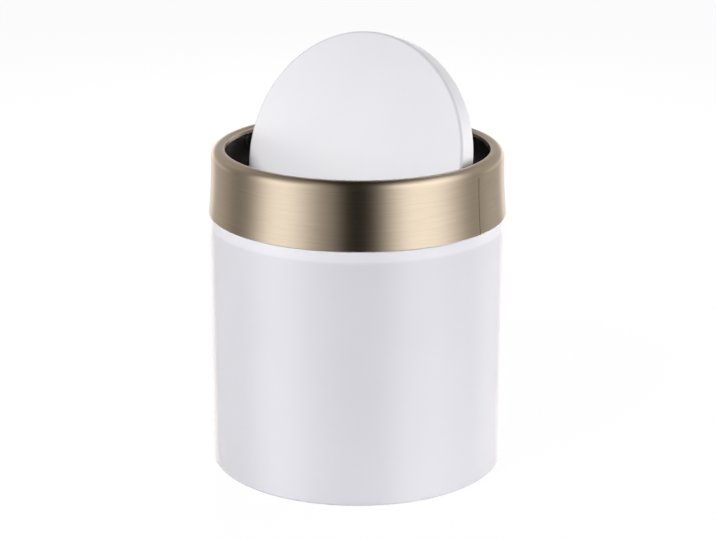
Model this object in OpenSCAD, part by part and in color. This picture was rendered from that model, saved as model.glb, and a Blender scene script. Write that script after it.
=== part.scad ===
// Countertop trash can with a swing lid
// Millimetres, +Z up, origin at the centre of the base on the table.
// The lid swings on a rod along X and is drawn pushed open from the front, which faces -Y.

/* [Can] */
// Outer diameter of the can
can_d = 120; // [112:1:150]
// Height from the table to the top of the rim
can_h = 132.4; // [110:0.1:180]
// Sheet thickness of the can
wall_t = 0.6; // [0.5:0.05:0.75]
// Height of the can's foot above the table, on its anti-slip ring
foot_lift = 0.4; // [0.2:0.1:1.5]
// Outer radius where the wall turns in under the can
foot_r = 1.2; // [1:0.1:2]
// Width of the turned-in foot
foot_w = 4; // [3:0.1:6]
// Outer radius of the hem round the can's top edge
hem_r = 0.9; // [0.8:0.05:1.1]
// Length of the hem's folded leg
hem_leg = 2.4; // [1.5:0.1:4]
// Width of the hairline groove at the welded seam
can_seam_w = 0.4; // [0.3:0.05:0.6]
// Depth of that groove
can_seam_deep = 0.12; // [0.08:0.01:0.2]
// Width of the doubled strip inside the seam
lap_w = 5; // [3:0.5:8]

/* [Bottom] */
// Sheet thickness of the bottom pan
pan_t = 0.6; // [0.4:0.05:0.8]
// Height of the pan's floor above its brim
pan_rise = 3; // [2:0.1:5]
// Width of the slope between brim and floor
pan_slope = 4; // [3.5:0.1:6]
// Diameter of the raised middle of the floor
bead_d = 64; // [40:1:76]
// Height of the raised middle
bead_h = 0.8; // [0.4:0.1:1.5]
// Width of the slope round the raised middle
bead_slope = 3; // [2:0.1:5]
// Width of the anti-slip ring
base_ring_w = 6; // [4:0.5:12]
// Gap between the anti-slip ring and the pan's slope
base_ring_inset = 1.2; // [0.5:0.1:4]

/* [Collar] */
// Height of the brushed collar
collar_h = 26.8; // [23:0.1:40]
// Sheet thickness of the collar
collar_t = 0.3; // [0.25:0.05:0.4]
// How far the collar's lower edge stands out from the can
edge_step = 0.3; // [0.2:0.05:0.5]
// How far the collar's waist is drawn in from the can's radius
waist_in = 0.9; // [0:0.05:1]
// Radius of the rounded shoulder
shoulder_r = 3.6; // [3:0.1:4]
// Width of the rim, from the can's outside to the mouth
rim_w = 6.5; // [6.3:0.1:9]
// Slope of the rim where it meets the lip, in degrees
rim_tilt = 15; // [10:1:25]
// Radius of the bend into the lip
lip_r = 0.8; // [0.6:0.05:1.1]
// Length of the lip's straight leg
lip_leg = 1.2; // [0.5:0.1:1.8]
// Width of the open butt seam in the skirt
collar_seam_w = 0.3; // [0.2:0.05:0.5]
// Direction of that seam, in degrees from +X towards +Y
collar_seam_at = -2.5; // [-180:0.5:180]
// How far below the shoulder that seam ends
collar_seam_drop = 0.5; // [0.3:0.1:6]

/* [Ring inside the collar] */
// How far the can's top edge lies below the rim
seat_drop = 13.2; // [12.6:0.1:15]
// Gap between the can's neck and the collar's skirt
slip_gap = 0.3; // [0.2:0.05:0.4]
// Gap where the ring sits on the can's edge
seat_gap = 0.1; // [0.05:0.01:0.2]
// How far the ring's bore lies behind the lip
liner_set = 1.5; // [1.2:0.1:1.7]
// Wall thickness of the ring above its flange
liner_t = 2; // [1.5:0.1:2.4]
// Gap between the top of the ring and the rim's sheet
liner_head = 0.4; // [0.3:0.05:0.8]
// Radius of the ring's top edges
liner_edge_r = 0.5; // [0.2:0.1:0.7]
// Thickness of the flange that sits on the can's edge
flange_t = 1.6; // [1.2:0.1:2.2]
// Depth of the plug below the can's edge
plug_h = 11; // [6:0.5:20]
// Width of the lead-in chamfer at the plug's end
plug_lead_w = 0.8; // [0.4:0.1:1.2]
// Height of that chamfer
plug_lead_h = 1.6; // [0.8:0.1:3]
// Gap between the plug and the hem
plug_gap = 0.35; // [0.3:0.05:0.5]
// Gap between ring and skirt
ring_fit = 0.1; // [0.05:0.01:0.2]
// Number of stiffening ribs round the ring
ring_ribs = 24; // [12:1:36]
// Thickness of a rib on the ring
ring_rib_t = 1.2; // [0.8:0.1:2]
// Width of the bosses that carry the bushes
boss_w = 11; // [9:0.5:16]
// Gap between the bosses and the collar's shoulder
boss_gap = 0.35; // [0.3:0.05:0.6]
// How far the bosses follow the shoulder's bend, in degrees
boss_sweep = 70; // [40:1:75]

/* [Rod and bushes] */
// Diameter of the rod
rod_d = 3; // [2.5:0.1:3]
// Running gap round the rod in its bushes
rod_fit = 0.05; // [0.02:0.01:0.1]
// Gap between the rod's ends and the collar
rod_end_gap = 0.4; // [0.3:0.05:0.8]
// Outer diameter of a bush
bush_d = 4.6; // [4:0.1:5]
// How far a bush stands out of the ring's bore
bush_out = 0.25; // [0.1:0.05:0.6]
// Gap round pressed and screwed pieces
press_fit = 0.02; // [0.01:0.01:0.04]

/* [Lid] */
// Angle by which the lid is drawn open, in degrees
lid_open = 72.2; // [0:0.1:90]
// Gap between the closed lid and the mouth
lid_gap = 2.3; // [1.5:0.1:4]
// Drop from the top of the rim to the closed lid
lid_drop = 1.2; // [0.3:0.1:1.2]
// Height of the lid's skirt, its whole thickness
lid_h = 9.1; // [8.9:0.1:10.5]
// Depth of the rod's axis below the lid's top face
axis_deep = 4.3; // [4.2:0.1:4.5]
// Wall thickness of the cap
cap_t = 1.6; // [1.2:0.1:1.8]
// Radius of the cap's top edge
cap_edge_r = 1.1; // [0.6:0.1:1.2]
// Radius inside the cap, between ceiling and skirt
cap_inner_r = 1; // [0.4:0.1:1.5]
// Radius of the skirt's lower edge
skirt_edge_r = 0.5; // [0.3:0.1:0.7]
// Distance of the inner saddles from the middle of the rod
saddle_near = 14; // [8:0.5:20]
// Distance of the outer saddles from the middle of the rod
saddle_far = 39; // [37:0.5:40]
// Thickness of a saddle
saddle_t = 2.4; // [1.6:0.1:3]
// Width of a saddle, across the rod
saddle_w = 9; // [7:0.5:12]

/* [Lid underside] */
// Thickness of the underside plate
plate_t = 1.2; // [1:0.1:1.3]
// Gap between the plate and the cap's skirt
plate_fit = 0.15; // [0.05:0.05:0.3]
// Gap between the plate and the rod
plate_under_rod = 0.2; // [0.1:0.05:0.4]
// Height of the rim, the pocket frame and the screw columns under the plate
rim_h = 1.3; // [1.2:0.1:1.5]
// Height of the ribs under the plate
rib_h = 1; // [0.6:0.1:1.1]
// Thickness of the ribs under the plate
rib_t = 1.2; // [0.8:0.1:2]
// Number of ribs under the plate
rib_n = 16; // [8:1:24]
// Width of the rim round the plate
plate_rim_w = 2.2; // [1.6:0.1:3]
// Radius of the circle of screws that join plate and cap
lid_screw_at = 37; // [36:0.5:38]

/* [Counterweight] */
// Length of the counterweight, along the rod
weight_l = 66; // [64:1:68]
// Width of the counterweight
weight_w = 28; // [26:0.5:29]
// Thickness of the counterweight
weight_t = 1.6; // [1.3:0.1:1.8]
// Corner radius of the counterweight
weight_corner = 3; // [1:0.5:5]
// Gap round the counterweight in its pocket
weight_gap = 0.3; // [0.2:0.05:0.5]
// Width of the frame round the pocket
frame_w = 1.2; // [0.8:0.1:2]
// Distance of a screw from the counterweight's short edge
weight_screw_x = 6; // [4.5:0.5:8]
// Distance of a screw from the counterweight's long edge
weight_screw_y = 5; // [4:0.5:6]

/* [Screws] */
// Diameter of a screw's shank
screw_d = 2; // [1.6:0.1:2.2]
// Diameter of a countersunk head
head_d = 4; // [3.6:0.1:4.4]
// Height of a countersunk head
head_h = 1.1; // [0.9:0.1:1.2]
// Length of a screw with its head
screw_l = 5.2; // [4.5:0.1:5.4]
// Width of the head's cross recess
cross_w = 0.6; // [0.4:0.1:0.8]
// Length of the cross recess
cross_l = 2.4; // [1.8:0.1:2.8]
// Depth of the cross recess
cross_deep = 0.6; // [0.4:0.1:0.8]
// Diameter of the bosses that take the screws
screw_boss_d = 5.6; // [5:0.1:6.4]
// Free depth of a pilot hole past its screw
pilot_room = 0.4; // [0.2:0.1:0.8]
// Gap between the counterweight's screw bosses and the cap
boss_head = 0.2; // [0.1:0.05:0.4]

/* [Hidden] */
$fn = 96;
// Overlap that makes a cut or a join clean
eps = 0.01;
// How deep a rib runs into the round wall that carries it
rib_root = 0.5;
// Steps in which the skirt's flare is drawn
flare_n = 11;

can_r = can_d / 2;
rod_r = rod_d / 2;

// Collar: waist, mouth and the height where the shoulder begins
waist_r = can_r - waist_in;
mouth_r = can_r - rim_w;
collar_z = can_h - collar_h;
shoulder_z = can_h - shoulder_r;
crown_r = (waist_r - shoulder_r - mouth_r - lip_r * (1 - sin(rim_tilt))) / sin(rim_tilt);

// Can: neck under the collar, top edge and hem
neck_r = waist_r - collar_t - slip_gap;
// How far below the collar's edge the neck begins, and the height over which it draws in
neck_lead = 0.8;
neck_bend = 2.6;
can_top = can_h - seat_drop;
hem_in_r = neck_r - 2 * hem_r;

// Bottom pan: it rests on the foot
brim_z = foot_lift + wall_t;
brim_r = can_r - foot_r - plate_fit;
pan_floor_z = brim_z + pan_rise;
slope_out_r = can_r - foot_w - plate_fit;
slope_in_r = slope_out_r - pan_slope;

// Ring inside the collar
bore_r = mouth_r + liner_set;
liner_r = bore_r + liner_t;
liner_top = can_h - collar_t - liner_head;
ring_r = waist_r - collar_t - ring_fit;
plug_r = hem_in_r - plug_gap;
flange_z = can_top + seat_gap;
boss_r = shoulder_r - collar_t - boss_gap;

// Lid: heights are counted from the rod's axis, in the closed position
lid_r = mouth_r - lid_gap;
axis_z = can_h - lid_drop - axis_deep;
cap_top = axis_deep;
cap_bottom = axis_deep - lid_h;
cap_ceiling = cap_top - cap_t;
plate_top = -rod_r - plate_under_rod;
plate_bottom = plate_top - plate_t;
rim_bottom = plate_bottom - rim_h;
plate_r = lid_r - cap_t - plate_fit;
saddle_x = [-saddle_far, -saddle_near, saddle_near, saddle_far];
weight_bottom = plate_bottom - weight_t;
rod_half = waist_r - collar_t - rod_end_gap;

// Points of a circular arc from angle a0 to a1; from = 1 leaves its first point to the line before
function arc(c, r, a0, a1, n = 8, from = 0) =
  [for (i = [from:n]) let (a = a0 + (a1 - a0) * i / n) [c[0] + r * cos(a), c[1] + r * sin(a)]];

// Smooth step from 0 to 1
function ease(t) = (1 - cos(180 * t)) / 2;

// Points of a smooth bend between p and q that leaves and arrives along the second coordinate
function bend_up(p, q, n = 8) =
  [for (i = [0:n]) let (t = i / n) [p[0] + (q[0] - p[0]) * ease(t), p[1] + (q[1] - p[1]) * t]];

// The same, leaving and arriving along the first coordinate
function bend_out(p, q, n = 8) =
  [for (i = [0:n]) let (t = i / n) [p[0] + (q[0] - p[0]) * t, p[1] + (q[1] - p[1]) * ease(t)]];

// Left-hand normal of a path at point i
function normal_at(path, i) =
  let (
    a = path[max(i - 1, 0)],
    b = path[min(i + 1, len(path) - 1)],
    d = b - a
  ) [-d[1], d[0]] / norm(d);

// Outline of a sheet of thickness t that lies to the left of a path
function sheet(path, t) =
  concat(
    path,
    [for (i = [len(path) - 1:-1:0]) path[i] + t * normal_at(path, i)]
  );

// Radius of the collar's skirt at height z: it flares towards its lower edge
function skirt_r(z) =
  let (s = (shoulder_z - z) / (shoulder_z - collar_z)) waist_r + (edge_step + waist_in) * s * s;

// Outer skin of the can: foot, wall, neck and hem
can_path = concat(
  [[can_r - foot_w, foot_lift]],
  arc([can_r - foot_r, foot_lift + foot_r], foot_r, -90, 0),
  bend_up([can_r, collar_z - neck_lead], [neck_r, collar_z - neck_lead + neck_bend]),
  arc([neck_r - hem_r, can_top - hem_r], hem_r, 0, 180, 10),
  [[hem_in_r, can_top - hem_r - hem_leg]]
);

// Underside of the pan, from its middle to its brim
pan_path = concat(
  [[0, pan_floor_z + bead_h]],
  bend_out([bead_d / 2 - bead_slope, pan_floor_z + bead_h], [bead_d / 2, pan_floor_z]),
  bend_out([slope_in_r, pan_floor_z], [slope_out_r, brim_z]),
  [[brim_r, brim_z]]
);

// Outer skin of the collar: skirt, shoulder, crown and lip
crown_c = [waist_r - shoulder_r, can_h - crown_r];
lip_c = crown_c + (crown_r - lip_r) * [cos(90 + rim_tilt), sin(90 + rim_tilt)];
collar_path = concat(
  [for (i = [0:flare_n - 1]) let (z = collar_z + (shoulder_z - collar_z) * i / flare_n) [skirt_r(z), z]],
  arc([waist_r - shoulder_r, shoulder_z], shoulder_r, 0, 90, 10),
  arc(crown_c, crown_r, 90, 90 + rim_tilt, 4, from = 1),
  arc(lip_c, lip_r, 90 + rim_tilt, 180, 6, from = 1),
  [[mouth_r, lip_c[1] - lip_leg]]
);

// Ring: bore, plug, flange and liner
ring_outline = concat(
  [
    [bore_r, can_top - plug_h],
    [plug_r - plug_lead_w, can_top - plug_h],
    [plug_r, can_top - plug_h + plug_lead_h],
    [plug_r, flange_z],
    [ring_r, flange_z],
    [ring_r, flange_z + flange_t],
    [liner_r, flange_z + flange_t]
  ],
  arc([liner_r - liner_edge_r, liner_top - liner_edge_r], liner_edge_r, 0, 90, 4),
  arc([bore_r + liner_edge_r, liner_top - liner_edge_r], liner_edge_r, 90, 180, 4)
);

// Space that the bosses may fill between liner and shoulder
boss_outline = concat(
  [[bore_r + liner_t / 2, flange_z + flange_t / 2], [waist_r - shoulder_r + boss_r, flange_z + flange_t / 2]],
  arc([waist_r - shoulder_r, shoulder_z], boss_r, 0, boss_sweep, 8),
  [[bore_r + liner_t / 2, shoulder_z + boss_r * sin(boss_sweep)]]
);

// Cap of the lid in section
cap_outline = concat(
  [[0, cap_ceiling], [0, cap_top]],
  arc([lid_r - cap_edge_r, cap_top - cap_edge_r], cap_edge_r, 90, 0),
  arc([lid_r - skirt_edge_r, cap_bottom + skirt_edge_r], skirt_edge_r, 0, -90, 5),
  [[lid_r - cap_t, cap_bottom]],
  arc([lid_r - cap_t - cap_inner_r, cap_ceiling - cap_inner_r], cap_inner_r, 0, 90, 5)
);

// Underside plate of the lid in section, with its rim
plate_outline = [
  [0, plate_top],
  [0, plate_bottom],
  [plate_r - plate_rim_w, plate_bottom],
  [plate_r - plate_rim_w, rim_bottom],
  [plate_r, rim_bottom],
  [plate_r, plate_top]
];

// Puts the lid's pieces on the rod's axis, at the lid's angle
module on_axis() {
  translate([0, 0, axis_z])
    rotate([lid_open, 0, 0])
      children();
}

// Cylinder along X between x0 and x1
module along_x(x0, x1, r) {
  translate([x0, 0, 0])
    rotate([0, 90, 0])
      cylinder(h = x1 - x0, r = r);
}

// Copies the children to the four corners of a rectangle
module at_corners(x, y) {
  for (sx = [-1, 1], sy = [-1, 1])
    translate([sx * x, sy * y, 0])
      children();
}

// Places of the two groups of screws
module at_lid_screws() {
  at_corners(lid_screw_at * cos(45), lid_screw_at * sin(45))
    children();
}

module at_weight_screws() {
  at_corners(weight_l / 2 - weight_screw_x, weight_w / 2 - weight_screw_y)
    children();
}

// Flat plate with round corners, from z = 0 up
module rounded_plate(l, w, t, r) {
  translate([-l / 2, -w / 2 + r, 0])
    cube([l, w - 2 * r, t]);
  translate([-l / 2 + r, -w / 2, 0])
    cube([l - 2 * r, w, t]);
  at_corners(l / 2 - r, w / 2 - r)
    cylinder(h = t, r = r);
}

// Countersunk screw that points up, its head's face at z = 0
module screw() {
  difference() {
    union() {
      cylinder(h = head_h, r1 = head_d / 2, r2 = screw_d / 2);
      cylinder(h = screw_l, r = screw_d / 2);
    }
    for (a = [0, 90])
      rotate([0, 0, a])
        translate([-cross_l / 2, -cross_w / 2, -eps])
          cube([cross_l, cross_w, cross_deep + eps]);
  }
}

// Hole for that screw through a plate of thickness t, with room for the head
module screw_hole(t) {
  translate([0, 0, -eps])
    cylinder(h = head_h + eps, r1 = head_d / 2 + press_fit, r2 = screw_d / 2 + press_fit);
  cylinder(h = t + 2 * eps, r = screw_d / 2 + press_fit);
}

// Can
module can_shell() {
  color([0.93, 0.93, 0.95]) {
    difference() {
      rotate_extrude()
        polygon(sheet(can_path, wall_t));
      // Groove of the welded seam at the back
      translate([-can_seam_w / 2, can_r - can_seam_deep, foot_lift + foot_r])
        cube([can_seam_w, wall_t, collar_z - neck_lead - foot_lift - foot_r]);
    }
    // Doubled strip inside the seam
    intersection() {
      rotate_extrude()
        polygon([
          [can_r - 2 * wall_t, brim_z + pan_rise],
          [can_r - wall_t / 2, brim_z + pan_rise],
          [can_r - wall_t / 2, collar_z - neck_lead],
          [can_r - 2 * wall_t, collar_z - neck_lead]
        ]);
      translate([-lap_w / 2, 0, 0])
        cube([lap_w, can_d, can_h]);
    }
  }
}

module can_bottom() {
  color([0.85, 0.85, 0.87])
    rotate_extrude()
      polygon(sheet(pan_path, pan_t));
}

module base_ring() {
  color([0.15, 0.15, 0.16])
    difference() {
      cylinder(h = pan_floor_z, r = slope_in_r - base_ring_inset);
      translate([0, 0, -eps])
        cylinder(h = pan_floor_z + 2 * eps, r = slope_in_r - base_ring_inset - base_ring_w);
    }
}

// Collar
module collar_ring() {
  color([0.72, 0.62, 0.48])
    difference() {
      rotate_extrude()
        polygon(sheet(collar_path, collar_t));
      // Butt seam through the skirt
      rotate([0, 0, collar_seam_at])
        translate([waist_r - 3 * collar_t, -collar_seam_w / 2, collar_z - eps])
          cube([6 * collar_t, collar_seam_w, shoulder_z - collar_seam_drop - collar_z + eps]);
    }
}

module pivot_ring() {
  color([0.08, 0.08, 0.09])
    difference() {
      union() {
        rotate_extrude()
          polygon(ring_outline);
        for (i = [0:ring_ribs - 1])
          rotate([0, 0, (i + 0.5) * 360 / ring_ribs])
            translate([liner_r - rib_root, -ring_rib_t / 2, flange_z + flange_t / 2])
              cube([
                ring_r - ring_fit - liner_r + rib_root,
                ring_rib_t,
                shoulder_z - liner_head - flange_z - flange_t / 2
              ]);
        intersection() {
          rotate_extrude()
            polygon(boss_outline);
          translate([-can_r, -boss_w / 2, 0])
            cube([can_d, boss_w, can_h]);
        }
      }
      // Seats of the bushes
      translate([0, 0, axis_z]) {
        along_x(bore_r - liner_t, can_r, bush_d / 2 + press_fit);
        along_x(-can_r, -bore_r + liner_t, bush_d / 2 + press_fit);
      }
    }
}

// Bush on the right; the left one is its mirror image
module pivot_bush() {
  color([0.2, 0.2, 0.21])
    translate([0, 0, axis_z])
      difference() {
        along_x(bore_r - bush_out, rod_half, bush_d / 2);
        along_x(bore_r - bush_out - eps, rod_half + eps, rod_r + rod_fit);
      }
}

module pivot_bush_right() {
  pivot_bush();
}

module pivot_bush_left() {
  rotate([0, 0, 180])
    pivot_bush();
}

// Lid
module lid_cap() {
  color([0.95, 0.95, 0.96])
    on_axis()
      difference() {
        union() {
          rotate_extrude()
            polygon(cap_outline);
          for (x = saddle_x)
            translate([x - saddle_t / 2, -saddle_w / 2, 0])
              cube([saddle_t, saddle_w, cap_ceiling + eps]);
          at_lid_screws()
            translate([0, 0, plate_top])
              cylinder(h = cap_ceiling + eps - plate_top, r = screw_boss_d / 2);
        }
        along_x(-can_r, can_r, rod_r + press_fit);
        // Pilot holes of the screws, blind
        at_lid_screws()
          translate([0, 0, plate_top - eps])
            cylinder(h = rim_bottom + screw_l + pilot_room - plate_top, r = screw_d / 2 + press_fit);
      }
}

// Ribs, pocket frame and screw columns under the plate, open where the counterweight lies
module plate_ribs() {
  pocket_l = weight_l + 2 * weight_gap;
  pocket_w = weight_w + 2 * weight_gap;
  difference() {
    union() {
      for (i = [0:rib_n - 1])
        rotate([0, 0, (i + 0.5) * 360 / rib_n])
          translate([pocket_w / 2, -rib_t / 2, plate_bottom - rib_h])
            cube([plate_r - (pocket_w + plate_rim_w) / 2, rib_t, rib_h + eps]);
      translate([-pocket_l / 2 - frame_w, -pocket_w / 2 - frame_w, rim_bottom])
        cube([pocket_l + 2 * frame_w, pocket_w + 2 * frame_w, rim_h + eps]);
      at_lid_screws()
        translate([0, 0, rim_bottom])
          cylinder(h = rim_h + eps, r = screw_boss_d / 2);
    }
    translate([-pocket_l / 2, -pocket_w / 2, rim_bottom - eps])
      cube([pocket_l, pocket_w, rim_h + 3 * eps]);
  }
}

module lid_underside() {
  color([0.9, 0.9, 0.91])
    on_axis()
      difference() {
        union() {
          rotate_extrude()
            polygon(plate_outline);
          plate_ribs();
          // Lower halves of the saddles
          for (x = saddle_x)
            translate([x - saddle_t / 2, -saddle_w / 2, plate_top - eps])
              cube([saddle_t, saddle_w, -plate_top - press_fit + eps]);
          at_weight_screws()
            translate([0, 0, plate_top - eps])
              cylinder(h = cap_ceiling - boss_head - plate_top, r = screw_boss_d / 2);
        }
        along_x(-can_r, can_r, rod_r + press_fit);
        at_lid_screws()
          translate([0, 0, rim_bottom])
            screw_hole(plate_top - rim_bottom);
        at_weight_screws()
          translate([0, 0, plate_bottom - eps])
            cylinder(h = weight_bottom + screw_l + pilot_room - plate_bottom, r = screw_d / 2 + press_fit);
      }
}

module pivot_rod() {
  color([0.75, 0.76, 0.78])
    on_axis()
      along_x(-rod_half, rod_half, rod_r);
}

module counterweight() {
  color([0.6, 0.61, 0.63])
    on_axis()
      translate([0, 0, weight_bottom])
        difference() {
          rounded_plate(weight_l, weight_w, weight_t, weight_corner);
          at_weight_screws()
            screw_hole(weight_t);
        }
}

module weight_screws() {
  color([0.7, 0.7, 0.72])
    on_axis()
      at_weight_screws()
        translate([0, 0, weight_bottom])
          screw();
}

module lid_screws() {
  color([0.7, 0.7, 0.72])
    on_axis()
      at_lid_screws()
        translate([0, 0, rim_bottom])
          screw();
}

can_shell();
can_bottom();
base_ring();
collar_ring();
pivot_ring();
pivot_bush_left();
pivot_bush_right();
lid_cap();
lid_underside();
pivot_rod();
counterweight();
weight_screws();
lid_screws();
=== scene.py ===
import math
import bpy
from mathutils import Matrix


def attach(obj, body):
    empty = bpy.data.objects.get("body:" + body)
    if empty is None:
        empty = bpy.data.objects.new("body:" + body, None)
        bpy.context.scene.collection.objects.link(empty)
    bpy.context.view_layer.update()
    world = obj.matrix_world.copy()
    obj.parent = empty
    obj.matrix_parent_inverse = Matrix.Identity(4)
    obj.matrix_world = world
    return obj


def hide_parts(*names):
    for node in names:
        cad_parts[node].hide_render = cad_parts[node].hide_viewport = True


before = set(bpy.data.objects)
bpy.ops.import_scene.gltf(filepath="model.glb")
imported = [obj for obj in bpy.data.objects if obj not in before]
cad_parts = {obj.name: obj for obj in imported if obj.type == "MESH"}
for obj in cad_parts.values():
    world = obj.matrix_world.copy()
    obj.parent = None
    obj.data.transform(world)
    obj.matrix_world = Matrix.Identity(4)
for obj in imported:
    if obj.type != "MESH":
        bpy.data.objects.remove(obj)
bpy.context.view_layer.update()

from types import SimpleNamespace

import bmesh
import bpy
from bpy.props import FloatProperty, FloatVectorProperty, IntProperty, PointerProperty
from bpy.types import Operator, Panel, PropertyGroup
from mathutils import Matrix, Vector

bl_info = {
    "name": "Countertop Trash Can",
    "version": (1, 0, 0),
    "blender": (4, 5, 0),
    "location": "3D View > Sidebar > Trash Can",
    "description": "Makes the pieces of a round countertop trash can with a swing lid, and a stage for it",
    "category": "Add Mesh",
}

MM = 0.001
# A radius below this lies on the axis, and points this close are one
TINY = 1e-7
# Columns of a large turned piece, of the pan and of the rod
COLUMNS = 288
PAN_COLUMNS = 192
ROD_COLUMNS = 64
# Points round a screw or its hole
SCREW_POINTS = 32
# Faces that meet at a larger angle have a sharp edge between them, in degrees
CREASE = 35


def length(label, about, millimetres):
    """A size for the panel. It is named in millimetres and kept in metres."""
    return FloatProperty(
        name=label,
        description=about,
        default=millimetres * MM,
        precision=5,
        subtype="DISTANCE",
        unit="LENGTH",
    )


def angle(label, about, degrees):
    """An angle for the panel, named in degrees."""
    return FloatProperty(
        name=label,
        description=about,
        default=math.radians(degrees),
        subtype="ANGLE",
        unit="ROTATION",
    )


def amount(label, about, default, low=0.0, high=10.0):
    """A plain number for the panel."""
    return FloatProperty(name=label, description=about, default=default, min=low, max=high)


def watts(label, where, default):
    """The power of a lamp for the panel."""
    return amount(label, "Power of the lamp " + where + ", in watts", default, high=100.0)


def colour(label, about, default):
    """A colour for the panel, as red, green and blue."""
    return FloatVectorProperty(
        name=label,
        description=about,
        default=default,
        size=3,
        min=0.0,
        max=1.0,
        subtype="COLOR",
    )


class CanSizes(PropertyGroup):
    """Sizes of the can's wall."""

    radius: length("Radius", "Outer radius of the can", 60)
    sheet: length("Sheet", "Sheet thickness of the can", 0.6)
    foot_lift: length("Foot lift", "Height of the can's foot above the table", 0.4)
    foot_radius: length("Foot radius", "Radius where the wall turns in under the can", 1.2)
    foot_width: length("Foot width", "Width of the turned-in foot", 4)
    neck_lead: length("Neck lead", "How far below the collar's edge the neck begins", 0.8)
    neck_bend: length("Neck bend", "Height over which the neck draws in", 2.6)
    seat_drop: length("Seat drop", "How far the can's top edge lies below the rim", 13.2)
    hem_radius: length("Hem radius", "Outer radius of the hem round the top edge", 0.9)
    hem_leg: length("Hem leg", "Length of the hem's folded leg", 2.4)
    seam_width: length("Seam width", "Width of the hairline groove at the welded seam", 0.4)
    seam_depth: length("Seam depth", "Depth of that groove", 0.12)
    lap_width: length("Lap width", "Width of the doubled strip inside the seam", 5)


class BottomSizes(PropertyGroup):
    """Sizes of the pan that closes the can and of the ring that it stands on."""

    sheet: length("Sheet", "Sheet thickness of the pan", 0.6)
    rise: length("Rise", "Height of the pan's floor above its brim", 3)
    slope: length("Slope", "Width of the slope between brim and floor", 4)
    brim_gap: length("Brim gap", "Gap between the pan and the can's wall", 0.15)
    bead_radius: length("Bead radius", "Radius of the raised middle of the floor", 32)
    bead_rise: length("Bead rise", "Height of the raised middle", 0.8)
    bead_slope: length("Bead slope", "Width of the slope round the raised middle", 3)
    ring_width: length("Ring width", "Width of the anti-slip ring", 6)
    ring_inset: length("Ring inset", "Gap between the anti-slip ring and the pan's slope", 1.2)
    ring_edge: length("Ring edge", "Rounding of the anti-slip ring's edges", 0.5)


class CollarSizes(PropertyGroup):
    """Sizes of the brushed collar."""

    top: length("Top", "Height of the rim above the table", 132.4)
    height: length("Height", "Height of the collar", 26.8)
    sheet: length("Sheet", "Sheet thickness of the collar", 0.3)
    edge_step: length("Edge step", "How far the lower edge stands out from the can", 0.3)
    waist_in: length("Waist", "How far the waist is drawn in from the can's radius", 0.9)
    shoulder: length("Shoulder", "Radius of the rounded shoulder", 3.6)
    rim_width: length("Rim width", "Width of the rim, from the can's outside to the mouth", 6.5)
    rim_tilt: angle("Rim tilt", "Slope of the rim where it meets the lip", 15)
    lip_radius: length("Lip radius", "Radius of the bend into the lip", 0.8)
    lip_leg: length("Lip leg", "Length of the lip's straight leg", 1.2)
    seam_width: length("Seam width", "Width of the butt seam in the skirt", 0.3)
    seam_at: angle("Seam direction", "Direction of that seam, from +X towards +Y", -2.5)
    seam_drop: length("Seam drop", "How far below the shoulder the seam ends", 0.5)
    slip_gap: length("Slip gap", "Gap between the can's neck and the collar", 0.3)


class RingSizes(PropertyGroup):
    """Sizes of the moulded ring inside the collar, of its bushes and of the rod."""

    liner_set: length("Liner set-back", "How far the bore lies behind the lip", 1.5)
    liner: length("Liner", "Wall thickness above the flange", 2)
    liner_head: length("Head gap", "Gap between the ring's top and the rim's sheet", 0.4)
    liner_edge: length("Liner edge", "Rounding of the ring's top edges", 0.5)
    flange: length("Flange", "Thickness of the flange on the can's edge", 1.6)
    seat_gap: length("Seat gap", "Gap where the ring sits on the can's edge", 0.1)
    fit: length("Fit", "Gap between ring and skirt", 0.1)
    plug: length("Plug", "Depth of the plug below the can's edge", 11)
    plug_gap: length("Plug gap", "Gap between the plug and the hem", 0.35)
    plug_lead_width: length("Lead width", "Width of the chamfer at the plug's end", 0.8)
    plug_lead_height: length("Lead height", "Height of that chamfer", 1.6)
    ribs: IntProperty(name="Ribs", description="Number of stiffening ribs", default=24, min=3)
    rib_thickness: length("Rib thickness", "Thickness of a stiffening rib", 1.2)
    boss_width: length("Boss width", "Width of the bosses that carry the bushes", 11)
    boss_gap: length("Boss gap", "Gap between the bosses and the collar's shoulder", 0.35)
    bush_radius: length("Bush radius", "Outer radius of a bush", 2.3)
    bush_bore: length("Bush bore", "Radius of a bush's bore", 1.55)
    bush_out: length("Bush stand-out", "How far a bush stands out of the ring's bore", 0.25)
    rod_radius: length("Rod radius", "Radius of the rod through the lid", 1.5)
    rod_end_gap: length("Rod end gap", "Gap between the rod's ends and the collar", 0.4)


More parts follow.
